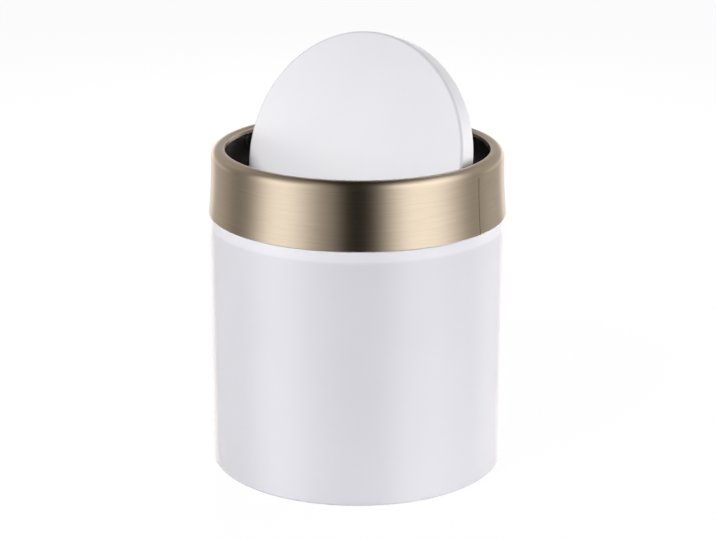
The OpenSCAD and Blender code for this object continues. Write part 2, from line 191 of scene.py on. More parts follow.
class LidSizes(PropertyGroup):
    """Sizes of the swing lid."""

    open: angle("Opening", "Angle by which the lid stands open", 72.2)
    gap: length("Gap", "Gap between the closed lid and the mouth", 2.3)
    drop: length("Drop", "Drop from the top of the rim to the closed lid", 1.2)
    height: length("Height", "Height of the lid's skirt", 9.1)
    axis_deep: length("Axis depth", "Depth of the rod's axis below the lid's face", 4.3)
    wall: length("Wall", "Wall thickness of the cap", 1.6)
    edge: length("Top edge", "Radius of the cap's top edge", 1.1)
    skirt_edge: length("Skirt edge", "Radius of the skirt's lower edge", 0.5)
    inner_edge: length("Inner edge", "Radius inside the cap, between ceiling and skirt", 1)
    saddle_near: length("Inner saddles", "Distance of the inner saddles from the middle", 14)
    saddle_far: length("Outer saddles", "Distance of the outer saddles from the middle", 39)
    saddle_thick: length("Saddle thickness", "Thickness of a saddle", 2.4)
    saddle_width: length("Saddle width", "Width of a saddle, across the rod", 9)
    plate: length("Plate", "Thickness of the underside plate", 1.2)
    plate_gap: length("Plate gap", "Gap between the plate and the cap's skirt", 0.15)
    plate_drop: length("Plate drop", "Depth of the plate's upper face below the axis", 1.7)
    rim_height: length("Rim height", "Height of the rim and frame under the plate", 1.3)
    rim_width: length("Rim width", "Width of the rim round the plate", 2.2)
    rib_height: length("Rib height", "Height of the ribs under the plate", 1)
    rib_thickness: length("Rib thickness", "Thickness of a rib under the plate", 1.2)
    ribs: IntProperty(name="Ribs", description="Number of ribs under the plate", default=16, min=3)
    frame_width: length("Frame width", "Width of the frame round the pocket", 1.2)
    screw_at: length("Screw circle", "Radius of the circle of screws", 37)
    post_radius: length("Screw posts", "Radius of the bosses that take the screws", 2.8)
    weight_length: length("Weight length", "Length of the counterweight, along the rod", 66)
    weight_width: length("Weight width", "Width of the counterweight", 28)
    weight_thick: length("Weight thickness", "Thickness of the counterweight", 1.6)
    weight_corner: length("Weight corner", "Corner radius of the counterweight", 3)
    weight_gap: length("Weight gap", "Gap round the counterweight in its pocket", 0.3)
    weight_screw_x: length("Screw inset, ends", "Distance of a screw from a short edge", 6)
    weight_screw_y: length("Screw inset, sides", "Distance of a screw from a long edge", 5)
    screw_radius: length("Shank radius", "Radius of a screw's shank", 1)
    head_radius: length("Head radius", "Radius of a countersunk head", 2)
    head_height: length("Head height", "Height of a countersunk head", 1.1)
    screw_length: length("Screw length", "Length of a screw with its head", 5.2)
    cross_width: length("Cross width", "Width of the head's cross recess", 0.6)
    cross_length: length("Cross length", "Length of the cross recess", 2.4)
    cross_depth: length("Cross depth", "Depth of the cross recess", 0.6)


class Finishes(PropertyGroup):
    """Colours of the can's materials."""

    coat: colour("Coat", "White coat of the can", (0.715, 0.71, 0.758))
    brass: colour("Brass", "Brushed brass of the collar", (0.62, 0.52, 0.40))
    black: colour("Black", "Black plastic of the ring inside", (0.015, 0.013, 0.012))
    lid: colour("Lid", "White plastic of the lid", (0.87, 0.862, 0.91))
    underside: colour("Underside", "White plastic under the lid", (0.78, 0.78, 0.81))
    acetal: colour("Bushes", "Black acetal of the bushes", (0.03, 0.03, 0.032))
    rod: colour("Rod", "Bright steel of the rod", (0.75, 0.75, 0.77))
    weight: colour("Counterweight", "Zinc-plated steel of the counterweight", (0.55, 0.56, 0.58))
    screw: colour("Screws", "Zinc-plated steel of the screws", (0.62, 0.62, 0.64))
    rubber: colour("Rubber", "Foam rubber of the anti-slip ring", (0.05, 0.05, 0.055))


class StageSettings(PropertyGroup):
    """Camera, floor, studio light and lamps."""

    turn: angle("Camera turn", "How far the camera stands to the right of the front", 34.5)
    rise: angle("Camera rise", "How far the camera looks down", 17.2)
    roll: angle("Camera roll", "How far the camera leans to its left", 0.135)
    distance: length("Camera distance", "Distance from the camera to the can", 917.85)
    aim: length("Aim height", "Height that the camera looks at", 79.75)
    lens: FloatProperty(name="Lens", description="Focal length in mm", default=112.54, min=10)
    shift: FloatProperty(name="Shift", description="Sideways shift", default=0.00098)
    floor: colour("Floor", "Colour of the floor round the can, as light finds it", (0.9, 0.9, 0.9))
    floor_far: colour("Floor, further out", "Its colour beyond the sheet's reach", (0.15, 0.15, 0.15))
    floor_reach: length("Floor reach", "How far the white sheet on the floor reaches", 250)
    floor_glow: amount("Floor glow", "Share of plain white in the floor as seen", 0.95, high=1.0)
    surround: amount("Surround", "Level of the studio's walls", 0.38)
    surround_tint: colour("Surround tint", "Tint of the studio's walls", (1.0, 0.95, 0.90))
    box_left: amount("Left soft box", "Level of the left soft box", 1.1)
    box_right: amount("Right soft box", "Level of the right soft box", 1.15)
    box_lift: amount("Box lift", "How much brighter the soft boxes are above the can", 0.25)
    rear_wall: amount("Rear wall", "Extra level of the wall behind the can", 0.11)
    backdrop: amount("Backdrop", "Extra level of the white backdrop low behind the can", 0.65)
    horizon: amount("Horizon", "Extra level of the white strip behind the can", 0.4)
    box_tint: colour("Soft box tint", "Tint of the soft boxes", (0.95, 0.97, 1.0))
    matt_share: amount("Matt share", "Share of the studio's light that matt surfaces get", 0.3, high=1.0)
    high_left: watts("High lamp, left", "high at the left", 5.15)
    low_right: watts("Low lamp, right", "low at the right", 0.41)
    side_left: watts("Side lamp, left", "at the left of the can", 0.8)
    side_right: watts("Side lamp, right", "at the right of the can", 2.04)
    back: watts("Back lamp", "behind the can", 3.0)


GROUPS = {
    "bin_can": CanSizes,
    "bin_bottom": BottomSizes,
    "bin_collar": CollarSizes,
    "bin_ring": RingSizes,
    "bin_lid": LidSizes,
    "bin_finish": Finishes,
    "bin_stage": StageSettings,
}


def settings():
    """The panel's values, with the radii and heights that several pieces share."""
    scene = bpy.context.scene
    s = SimpleNamespace(
        can=scene.bin_can,
        bottom=scene.bin_bottom,
        collar=scene.bin_collar,
        ring=scene.bin_ring,
        lid=scene.bin_lid,
        finish=scene.bin_finish,
    )
    s.waist_r = s.can.radius - s.collar.waist_in
    s.mouth_r = s.can.radius - s.collar.rim_width
    s.collar_z = s.collar.top - s.collar.height
    s.shoulder_z = s.collar.top - s.collar.shoulder
    s.neck_r = s.waist_r - s.collar.sheet - s.collar.slip_gap
    s.can_top = s.collar.top - s.can.seat_drop
    s.hem_in_r = s.neck_r - 2 * s.can.hem_radius
    s.brim_z = s.can.foot_lift + s.can.sheet
    s.pan_z = s.brim_z + s.bottom.rise
    s.slope_out_r = s.can.radius - s.can.foot_width - s.bottom.brim_gap
    s.slope_in_r = s.slope_out_r - s.bottom.slope
    s.bore_r = s.mouth_r + s.ring.liner_set
    s.liner_r = s.bore_r + s.ring.liner
    s.liner_top = s.collar.top - s.collar.sheet - s.ring.liner_head
    s.ring_r = s.waist_r - s.collar.sheet - s.ring.fit
    s.plug_r = s.hem_in_r - s.ring.plug_gap
    s.flange_z = s.can_top + s.ring.seat_gap
    s.boss_r = s.collar.shoulder - s.collar.sheet - s.ring.boss_gap
    s.rod_half = s.waist_r - s.collar.sheet - s.ring.rod_end_gap
    s.axis_z = s.collar.top - s.lid.drop - s.lid.axis_deep
    s.lid_r = s.mouth_r - s.lid.gap
    s.cap_top = s.lid.axis_deep
    s.cap_bottom = s.lid.axis_deep - s.lid.height
    s.cap_ceiling = s.cap_top - s.lid.wall
    s.plate_r = s.lid_r - s.lid.wall - s.lid.plate_gap
    s.plate_top = -s.lid.plate_drop
    s.plate_bottom = s.plate_top - s.lid.plate
    s.rim_bottom = s.plate_bottom - s.lid.rim_height
    s.weight_bottom = s.plate_bottom - s.lid.weight_thick
    s.lid_place = Matrix.Translation((0, 0, s.axis_z)) @ Matrix.Rotation(s.lid.open, 4, "X")
    corner = s.lid.screw_at * math.cos(math.radians(45))
    s.lid_screw = (corner, corner)
    s.weight_screw = (
        s.lid.weight_length / 2 - s.lid.weight_screw_x,
        s.lid.weight_width / 2 - s.lid.weight_screw_y,
    )
    return s


# Outlines of sections, as points of radius and height


def arc(centre, radius, start, end, steps=12, leave=0):
    """Points of an arc between two angles in degrees. leave=1 drops the first."""
    points = []
    for i in range(leave, steps + 1):
        a = math.radians(start + (end - start) * i / steps)
        points.append((centre[0] + radius * math.cos(a), centre[1] + radius * math.sin(a)))
    return points


def ease(t):
    """Goes from 0 to 1 with a slow start and end."""
    return (1 - math.cos(math.pi * t)) / 2


def bend_up(p, q, steps=12):
    """Smooth bend between two points that leaves and arrives upright."""
    steps_up = [i / steps for i in range(steps + 1)]
    return [(p[0] + (q[0] - p[0]) * ease(t), p[1] + (q[1] - p[1]) * t) for t in steps_up]


def bend_out(p, q, steps=12):
    """The same, leaving and arriving level."""
    steps_out = [i / steps for i in range(steps + 1)]
    return [(p[0] + (q[0] - p[0]) * t, p[1] + (q[1] - p[1]) * ease(t)) for t in steps_out]


def sheet(path, thickness):
    """Closed outline of a sheet that lies to the left of a path."""
    inner = []
    for i, point in enumerate(path):
        a = Vector(path[max(i - 1, 0)])
        b = Vector(path[min(i + 1, len(path) - 1)])
        along = (b - a).normalized()
        inner.append((point[0] - along.y * thickness, point[1] + along.x * thickness))
    return list(path) + inner[::-1]


def can_path(s):
    """Outer skin of the can: foot, wall, neck and hem."""
    can = s.can
    foot = (can.radius - can.foot_radius, can.foot_lift + can.foot_radius)
    neck_z = s.collar_z - can.neck_lead
    hem = (s.neck_r - can.hem_radius, s.can_top - can.hem_radius)
    path = [(can.radius - can.foot_width, can.foot_lift)]
    path += arc(foot, can.foot_radius, -90, 0)
    path += bend_up((can.radius, neck_z), (s.neck_r, neck_z + can.neck_bend))
    path += arc(hem, can.hem_radius, 0, 180, steps=16)
    path.append((s.hem_in_r, hem[1] - can.hem_leg))
    return path


def pan_path(s):
    """Underside of the pan, from its middle to its brim."""
    pan = s.bottom
    raised = s.pan_z + pan.bead_rise
    path = [(0.0, raised)]
    path += bend_out((pan.bead_radius - pan.bead_slope, raised), (pan.bead_radius, s.pan_z))
    path += bend_out((s.slope_in_r, s.pan_z), (s.slope_out_r, s.brim_z))
    path.append((s.can.radius - s.can.foot_radius - pan.brim_gap, s.brim_z))
    return path


def collar_path(s):
    """Outer skin of the collar: skirt, shoulder, crown and lip."""
    c = s.collar
    tilt = math.degrees(c.rim_tilt)
    flat = s.waist_r - c.shoulder - s.mouth_r - c.lip_radius * (1 - math.sin(c.rim_tilt))
    crown_r = flat / math.sin(c.rim_tilt)
    shoulder = (s.waist_r - c.shoulder, s.shoulder_z)
    crown = (shoulder[0], c.top - crown_r)
    reach = crown_r - c.lip_radius
    lip = (crown[0] - reach * math.sin(c.rim_tilt), crown[1] + reach * math.cos(c.rim_tilt))
    path = []
    steps = 22
    for i in range(steps):
        z = s.collar_z + (s.shoulder_z - s.collar_z) * i / steps
        share = (s.shoulder_z - z) / (s.shoulder_z - s.collar_z)
        path.append((s.waist_r + (c.edge_step + c.waist_in) * share * share, z))
    path += arc(shoulder, c.shoulder, 0, 90, steps=20)
    path += arc(crown, crown_r, 90, 90 + tilt, steps=8, leave=1)
    path += arc(lip, c.lip_radius, 90 + tilt, 180, steps=12, leave=1)
    path.append((s.mouth_r, lip[1] - c.lip_leg))
    return path


# Mesh helpers


def even_angles(columns=COLUMNS):
    return [2 * math.pi * i / columns for i in range(columns)]


def angles_with(edges):
    """Evenly spread angles with exact extra ones, and none too close to these."""
    clear = math.pi / COLUMNS
    extra = sorted(a % (2 * math.pi) for a in edges)
    kept = []
    for a in even_angles():
        away = min(abs((a - b + math.pi) % (2 * math.pi) - math.pi) for b in extra)
        if away > clear:
            kept.append(a)
    return sorted(kept + extra)


def turned(outline, angles=None, place=None):
    """Mesh that turns a closed outline round the Z axis. place moves a point to its radius."""
    mesh = bmesh.new()
    angles = angles or even_angles()
    poles = {}
    columns = []
    for a in angles:
        column = []
        for i, (r, z) in enumerate(outline):
            if r < TINY:
                if i not in poles:
                    poles[i] = mesh.verts.new((0, 0, z))
                column.append(poles[i])
            else:
                r = place(a, r, z) if place else r
                column.append(mesh.verts.new((r * math.cos(a), r * math.sin(a), z)))
        columns.append(column)
    for here, there in zip(columns, columns[1:] + columns[:1]):
        for i in range(len(outline)):
            j = (i + 1) % len(outline)
            corners = []
            for corner in (here[i], there[i], there[j], here[j]):
                if corner not in corners:
                    corners.append(corner)
            if len(corners) > 2:
                mesh.faces.new(corners)
    return mesh, columns


def join_rings(mesh, low, high):
    """Faces between two closed rings of as many points."""
    for corners in zip(low, low[1:] + low[:1], high[1:] + high[:1], high):
        mesh.faces.new(corners)


def add_turned(mesh, outline, matrix):
    """Adds a small turned shape to a mesh, moved by a matrix."""
    part, _ = turned(outline, even_angles(SCREW_POINTS))
    part.transform(matrix)
    add_mesh(mesh, part)


def add_mesh(mesh, part):
    """Adds one mesh under construction to another, and frees it."""
    data = bpy.data.meshes.new("part")
    part.to_mesh(data)
    part.free()
    mesh.from_mesh(data)
    bpy.data.meshes.remove(data)


def add_block(mesh, low, high):
    """Adds a box with softened edges."""
    edge = 0.12 * MM
    part = bmesh.new()
    bmesh.ops.create_cube(part, size=1)
    size = [high[i] - low[i] for i in range(3)]
    middle = [(high[i] + low[i]) / 2 for i in range(3)]
    part.transform(Matrix.Translation(middle) @ Matrix.Diagonal((*size, 1)))
    bmesh.ops.bevel(part, geom=part.edges[:], offset=edge, segments=2, affect="EDGES", profile=0.5)
    add_mesh(mesh, part)


def add_saddles(mesh, lid, z0, z1):
    """Adds the four blocks across the rod, between two heights."""
    half = lid.saddle_thick / 2
    for x in (-lid.saddle_far, -lid.saddle_near, lid.saddle_near, lid.saddle_far):
        low = (x - half, -lid.saddle_width / 2, z0)
        add_block(mesh, low, (x + half, lid.saddle_width / 2, z1))


def four_corners(corner):
    """The four corners of a rectangle about the origin, of which one is given."""
    return [(x * corner[0], y * corner[1]) for x in (-1, 1) for y in (-1, 1)]


def circle(x, y, radius):
    turns = even_angles(SCREW_POINTS)
    return [(x + radius * math.cos(a), y + radius * math.sin(a)) for a in turns]


def rounded(length_x, width_y, corner, steps=8):
    """Rectangle with round corners about the origin."""
    points = []
    for k, (sx, sy) in enumerate([(1, 1), (-1, 1), (-1, -1), (1, -1)]):
        centre = (sx * (length_x / 2 - corner), sy * (width_y / 2 - corner))
        points += arc(centre, corner, 90 * k, 90 * k + 90, steps)
    return points


def add_slab(mesh, outer, holes, z0, z1):
    """Adds a flat plate with a chamfered edge. Each hole is a pair of loops, at z0 and at z1."""
    edge = 0.15 * MM
    part = bmesh.new()
    middle = Vector((sum(p[0] for p in outer), sum(p[1] for p in outer))) / len(outer)

    def loop(points, z, inset=0.0):
        ring = []
        for p in points:
            away = Vector(p) - middle
            p = Vector(p) - inset * Vector((math.copysign(1, away.x), math.copysign(1, away.y)))
            ring.append(part.verts.new((p.x, p.y, z)))
        return ring

    def edges_of(ring):
        pairs = zip(ring, ring[1:] + ring[:1])
        return [part.edges.get(pair) or part.edges.new(pair) for pair in pairs]

    rims = [loop(outer, z0, edge), loop(outer, z0 + edge)]
    rims += [loop(outer, z1 - edge), loop(outer, z1, edge)]
    for low, high in zip(rims, rims[1:]):
        join_rings(part, low, high)
    bottom = edges_of(rims[0])
    top = edges_of(rims[-1])
    for low_points, high_points in holes:
        low = loop(low_points, z0)
        high = loop(high_points, z1)
        join_rings(part, low, high)
        bottom += edges_of(low)
        top += edges_of(high)
    bmesh.ops.triangle_fill(part, edges=bottom, use_beauty=True)
    bmesh.ops.triangle_fill(part, edges=top, use_beauty=True)
    add_mesh(mesh, part)


def finish_piece(name, mesh, material, body, nodes, matrix=None):
    """Makes a piece of a mesh under construction and puts it in place of its CAD nodes."""
    if matrix:
        mesh.transform(matrix)
    bmesh.ops.recalc_face_normals(mesh, faces=mesh.faces[:])
    data = bpy.data.meshes.new(name)
    mesh.to_mesh(data)
    mesh.free()
    finish_data(name, data, material, body, nodes)


def finish_data(name, data, material, body, nodes):
    """Makes a piece of a finished mesh: its edges, material, body and CAD nodes."""
    if not data.polygons:
        raise RuntimeError(name + " has no faces")
    data.polygons.foreach_set("use_smooth", [True] * len(data.polygons))
    data.set_sharp_from_angle(angle=math.radians(CREASE))
    data.materials.clear()
    data.materials.append(material)
    piece = bpy.data.objects.new(name, data)
    bpy.context.scene.collection.objects.link(piece)
    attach(piece, body)
    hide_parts(*nodes)


# Node trees


class Nodes:
    """A node tree under construction."""

    def __init__(self, tree):
        self.tree = tree

    def node(self, kind, links=None, **options):
        """Adds a node. links sets its sockets, by name or number, to outputs or plain values."""
        node = self.tree.nodes.new(kind)
        for key, value in options.items():
            setattr(node, key, value)
        for key, value in (links or {}).items():
            if isinstance(value, bpy.types.NodeSocket):
                self.tree.links.new(value, node.inputs[key])
            else:
                node.inputs[key].default_value = value
        return node.outputs

    def maths(self, operation, *values):
        return self.node("ShaderNodeMath", dict(enumerate(values)), operation=operation)[0]

    def dot(self, vector, direction):
        links = {0: vector, 1: direction}
        return self.node("ShaderNodeVectorMath", links, operation="DOT_PRODUCT")["Value"]

    def size_of(self, vector):
        return self.node("ShaderNodeVectorMath", {0: vector}, operation="LENGTH")["Value"]


class Graph(Nodes):
    """A Geometry Nodes tree under construction."""

    def __init__(self, name, inputs):
        super().__init__(bpy.data.node_groups.new(name, "GeometryNodeTree"))
        sockets = [("Geometry", "INPUT", "Geometry")]
        sockets += [(label, "INPUT", kind) for label, kind in inputs.items()]
        sockets.append(("Geometry", "OUTPUT", "Geometry"))
        for label, way, kind in sockets:
            self.tree.interface.new_socket(name=label, in_out=way, socket_type="NodeSocket" + kind)
        self.input = self.tree.nodes.new("NodeGroupInput").outputs

    def vector(self, x, y, z):
        return self.node("ShaderNodeCombineXYZ", {"X": x, "Y": y, "Z": z})[0]

    def end(self, geometry, material):
        """Makes instances real, gives them their material and closes the tree."""
        real = self.node("GeometryNodeRealizeInstances", {"Geometry": geometry})[0]
        dressed = self.node("GeometryNodeSetMaterial", {"Geometry": real, "Material": material})[0]
        self.node("NodeGroupOutput", {"Geometry": dressed})
        return self.tree


def run_tree(tree, source, values):
    """Runs a tree on a source mesh with named values, and gives the plain mesh it makes."""
    worker = bpy.data.objects.new("worker", source)
    bpy.context.scene.collection.objects.link(worker)
    modifier = worker.modifiers.new(tree.name, "NODES")
    modifier.node_group = tree
    for item in tree.interface.items_tree:
        if item.in_out == "INPUT" and item.name in values:
            modifier[item.identifier] = values[item.name]
    graph = bpy.context.evaluated_depsgraph_get()
    data = bpy.data.meshes.new_from_object(worker.evaluated_get(graph))
    worker.modifiers.clear()
    bpy.data.objects.remove(worker)
    bpy.data.meshes.remove(source)
    return data


def ribbed_tree():
    """Tree that turns an outline round the Z axis and sets ribs on it.

    The ribs start at the root radius, or outside the pocket where that is further out."""
    g = Graph(
        "Turned piece with ribs",
        {
            "Columns": "Int",
            "Path Radius": "Float",
            "Ribs": "Int",
            "Rib Root": "Float",
            "Rib Tip": "Float",
            "Rib Thickness": "Float",
            "Rib Bottom": "Float",
            "Rib Top": "Float",
            "Pocket Length": "Float",
            "Pocket Width": "Float",
            "Material": "Material",
        },
    )
    value = g.input
    outline = g.node("GeometryNodeMeshToCurve", {"Mesh": value["Geometry"]})[0]
    path = g.node(
        "GeometryNodeCurvePrimitiveCircle",
        {"Resolution": value["Columns"], "Radius": value["Path Radius"]},
    )[0]
    upright = g.node("GeometryNodeSetCurveNormal", {"Curve": path}, mode="Z_UP")[0]
    skin = g.node("GeometryNodeCurveToMesh", {"Curve": upright, "Profile Curve": outline})[0]
    skin = g.node("GeometryNodeMergeByDistance", {"Geometry": skin, "Distance": TINY})[0]

    # Direction of each rib, and where it leaves the pocket
    index = g.node("GeometryNodeInputIndex")[0]
    step = g.maths("DIVIDE", 2 * math.pi, value["Ribs"])
    turn = g.maths("MULTIPLY", g.maths("ADD", index, 0.5), step)
    across = g.maths("COSINE", turn)
    along = g.maths("SINE", turn)
    half_length = g.maths("MULTIPLY", value["Pocket Length"], 0.5)
    half_width = g.maths("MULTIPLY", value["Pocket Width"], 0.5)
    out_x = g.maths("DIVIDE", half_length, g.maths("ABSOLUTE", across))
    out_y = g.maths("DIVIDE", half_width, g.maths("ABSOLUTE", along))
    root = g.maths("MAXIMUM", value["Rib Root"], g.maths("MINIMUM", out_x, out_y))
    middle = g.maths("MULTIPLY", g.maths("ADD", root, value["Rib Tip"]), 0.5)
    level = g.maths("MULTIPLY", g.maths("ADD", value["Rib Bottom"], value["Rib Top"]), 0.5)
    place = g.vector(g.maths("MULTIPLY", across, middle), g.maths("MULTIPLY", along, middle), level)
    size = g.vector(
        g.maths("SUBTRACT", value["Rib Tip"], root),
        value["Rib Thickness"],
        g.maths("SUBTRACT", value["Rib Top"], value["Rib Bottom"]),
    )
    points = g.node("GeometryNodePoints", {"Count": value["Ribs"], "Position": place})[0]
    block = g.node("GeometryNodeMeshCube", {"Size": (1.0, 1.0, 1.0)})[0]
    ribs = g.node(
        "GeometryNodeInstanceOnPoints",
        {"Points": points, "Instance": block, "Rotation": g.vector(0.0, 0.0, turn), "Scale": size},
    )[0]
    joined = g.tree.nodes.new("GeometryNodeJoinGeometry")
    for part in (skin, ribs):
        g.tree.links.new(part, joined.inputs[0])
    return g.end(joined.outputs[0], value["Material"])


def ribbed(outline, material, **values):
    """A turned piece with ribs, as a mesh under construction."""
    path_radius = 1 * MM
    source = bpy.data.meshes.new("outline")
    points = [(r - path_radius, -z, 0) for r, z in outline]
    edges = [(i, (i + 1) % len(points)) for i in range(len(points))]
    source.from_pydata(points, edges, [])
    tree = ribbed_tree()
    values = {key.replace("_", " ").title(): value for key, value in values.items()}
    values |= {"Columns": COLUMNS, "Path Radius": path_radius, "Material": material}
    data = run_tree(tree, source, values)
    mesh = bmesh.new()
    mesh.from_mesh(data)
    bpy.data.meshes.remove(data)
    return mesh


def corner_tree():
    """Tree that sets a screw at each corner of a rectangle."""
    g = Graph(
        "Screws at the corners",
        {
            "Half Length": "Float",
            "Half Width": "Float",
            "Level": "Float",
            "Turn": "Float",
            "Material": "Material",
        },
    )
    value = g.input
    grid = g.node(
        "GeometryNodeMeshGrid",
        {
            "Size X": g.maths("MULTIPLY", value["Half Length"], 2.0),
            "Size Y": g.maths("MULTIPLY", value["Half Width"], 2.0),
            "Vertices X": 2,
            "Vertices Y": 2,
        },
    )[0]
    raised = g.node(
        "GeometryNodeSetPosition",
        {"Geometry": grid, "Offset": g.vector(0.0, 0.0, value["Level"])},
    )[0]
    # The screws were turned home by hand, so their recesses point all ways
    index = g.node("GeometryNodeInputIndex")[0]
    turn = g.maths("MULTIPLY", g.maths("ADD", index, 1.0), value["Turn"])
    screws = g.node(
        "GeometryNodeInstanceOnPoints",
        {"Points": raised, "Instance": value["Geometry"], "Rotation": g.vector(0.0, 0.0, turn)},
    )[0]
    return g.end(screws, value["Material"])


def screw_mesh(lid):
    """Countersunk screw that points up, with its head's face at z = 0."""
    mesh = bmesh.new()
    tip = 0.4 * MM
    rim = 0.08 * MM
    levels = [
        (lid.head_radius, 0),
        (lid.head_radius, rim),
        (lid.screw_radius, lid.head_height),
        (lid.screw_radius, lid.screw_length - tip),
        (lid.screw_radius - tip / 2, lid.screw_length),
    ]
    rings = [[mesh.verts.new((x, y, z)) for x, y in circle(0, 0, r)] for r, z in levels]
    for low, high in zip(rings, rings[1:]):
        join_rings(mesh, low, high)
    mesh.faces.new(rings[-1])
    # Cross recess, a little narrower at its floor
    half = lid.cross_width / 2
    reach = lid.cross_length / 2
    cross = [(reach, -half), (reach, half), (half, half), (half, reach)]
    cross += [(-half, reach), (-half, half), (-reach, half), (-reach, -half)]
    cross += [(-half, -half), (-half, -reach), (half, -reach), (half, -half)]
    taper = 0.8
    mouth = [mesh.verts.new((x, y, 0)) for x, y in cross]
    floor = [mesh.verts.new((x * taper, y * taper, lid.cross_depth)) for x, y in cross]
    join_rings(mesh, mouth, floor)
    mesh.faces.new(floor)
    loops = [mesh.edges.get(pair) for pair in zip(mouth, mouth[1:] + mouth[:1])]
    loops += [mesh.edges.get(pair) for pair in zip(rings[0], rings[0][1:] + rings[0][:1])]
    bmesh.ops.triangle_fill(mesh, edges=loops, use_beauty=True)
    bmesh.ops.recalc_face_normals(mesh, faces=mesh.faces[:])
    data = bpy.data.meshes.new("screw")
    mesh.to_mesh(data)
    mesh.free()
    return data


# Materials


class Look(Nodes):
    """A material under construction."""

    def __init__(self, name, **sockets):
        self.material = bpy.data.materials.new(name)
        self.material.use_nodes = True
        super().__init__(self.material.node_tree)
        self.shader = self.tree.nodes["Principled BSDF"]
        for key, value in sockets.items():
            self.shader.inputs[key.replace("_", " ")].default_value = value
        self.place = self.node("ShaderNodeTexCoord")["Object"]
        self.bumped = None

    def set(self, socket, value):
        self.tree.links.new(value, self.shader.inputs[socket])

    def height(self):
        return self.node("ShaderNodeSeparateXYZ", {0: self.place})["Z"]

    def stretched(self, x, y, z):
        """Object coordinates, scaled along each axis."""
        return self.node("ShaderNodeMapping", {"Vector": self.place, "Scale": (x, y, z)})[0]

    def noise(self, scale=1.0, detail=2.0, rough=0.5, vector=None):
        links = {"Vector": vector or self.place, "Scale": scale, "Detail": detail, "Roughness": rough}
        return self.node("ShaderNodeTexNoise", links)[0]

    def spread(self, value, low, high, start=0.3, end=0.7, smooth=False):
        """Carries a value from start..end to low..high."""
        links = {"Value": value, "From Min": start, "From Max": end, "To Min": low, "To Max": high}
        kind = "SMOOTHSTEP" if smooth else "LINEAR"
        return self.node("ShaderNodeMapRange", links, interpolation_type=kind)[0]

    def mix(self, share, first, second):
        """Colour between two colours, which are plain values or outputs."""
        # The Mix node's colours are its sockets 6 and 7, and its third output
        links = {0: share, 6: first, 7: second}
        for key in (6, 7):
            if not isinstance(links[key], bpy.types.NodeSocket):
                links[key] = (*links[key][:3], 1)
        return self.node("ShaderNodeMix", links, data_type="RGBA")[2]

    def clouded(self, base, clouds, factor=1.0):
        """The base colour times a factor, with faint clouds."""
        share = self.spread(clouds, 0, 1, start=0.2, end=0.8)
        return self.mix(share, shade(base, 0.985 * factor), shade(base, 1.015 * factor))

    def rough_between(self, value, low, high):
        """Lets a value from 0.2 to 0.8 set the roughness between two levels."""
        self.set("Roughness", self.spread(value, low, high, start=0.2, end=0.8))

    def bump(self, height, depth, strength):
        links = {"Height": height, "Distance": depth, "Strength": strength}
        if self.bumped:
            links["Normal"] = self.bumped
        self.bumped = self.node("ShaderNodeBump", links)[0]
        self.set("Normal", self.bumped)


def shade(base, factor):
    """A colour times a factor, up to white."""
    return tuple(min(1.0, max(0.0, c * factor)) for c in base)


def powder_coat(name, base, painted_highlight_band=0.0, painted_highlight_top=0.0):
    """Satin white coat with fine orange peel and faint cloudiness.

    The last two numbers are the height and the upper end of a painted highlight: a lighter band painted
    into the coat's colour just under the collar, in place of light."""
    look = Look(name, Roughness=0.35, IOR=1.5, Coat_Weight=1.0, Coat_Roughness=0.2, Coat_IOR=1.6)
    tone = look.clouded(base, look.noise(scale=35, detail=3))
    # Painted highlight: the colour is lighter in a band just under the collar
    if painted_highlight_band:
        painted_light_end = painted_highlight_top - 0.7 * painted_highlight_band
        painted_highlight_share = look.spread(look.height(), 0, 1, start=painted_highlight_top - painted_highlight_band, end=painted_light_end, smooth=True)
        tone = look.mix(painted_highlight_share, tone, shade(base, 1.14))
    look.set("Base Color", tone)
    look.rough_between(look.noise(scale=60, detail=4), 0.3, 0.4)
    look.bump(look.noise(scale=900), depth=0.003 * MM, strength=0.5)
    look.bump(look.noise(scale=140), depth=0.01 * MM, strength=0.3)
    return look.material


def brushed_brass(base):
    """Lacquered brass with hairlines that run round the collar, over shoulder and rim."""
    look = Look("Brushed brass", Metallic=1.0, Roughness=0.3, Anisotropic=0.7, Anisotropic_Rotation=0.25)
    axes = look.node("ShaderNodeSeparateXYZ", {0: look.place})
    flat = look.node("ShaderNodeVectorMath", {0: look.place, 1: (1, 1, 0)}, operation="MULTIPLY")[0]
    way = look.node("ShaderNodeVectorMath", {0: flat}, operation="NORMALIZE")[0]
    across = look.maths("SUBTRACT", axes["Z"], look.size_of(flat))

    def hairlines(round_scale, across_scale, detail):
        part = look.node("ShaderNodeSeparateXYZ", {0: way})
        x = look.maths("MULTIPLY", part["X"], round_scale)
        y = look.maths("MULTIPLY", part["Y"], round_scale)
        z = look.maths("MULTIPLY", across, across_scale)
        vector = look.node("ShaderNodeCombineXYZ", {0: x, 1: y, 2: z})[0]
        return look.noise(detail=detail, rough=0.6, vector=vector)

    fine = hairlines(round_scale=5, across_scale=5000, detail=3)
    broad = hairlines(round_scale=2, across_scale=1400, detail=2)
    both = look.maths("ADD", look.maths("MULTIPLY", fine, 0.6), look.maths("MULTIPLY", broad, 0.4))
    tone = look.mix(look.spread(both, 0, 1), shade(base, 0.91), shade(base, 1.09))
    look.set("Base Color", tone)
    look.set("Roughness", look.spread(both, 0.28, 0.32))
    look.bump(fine, depth=0.003 * MM, strength=0.5)
    tangent = look.node("ShaderNodeTangent", direction_type="RADIAL", axis="Z")[0]
    look.set("Tangent", tangent)
    return look.material


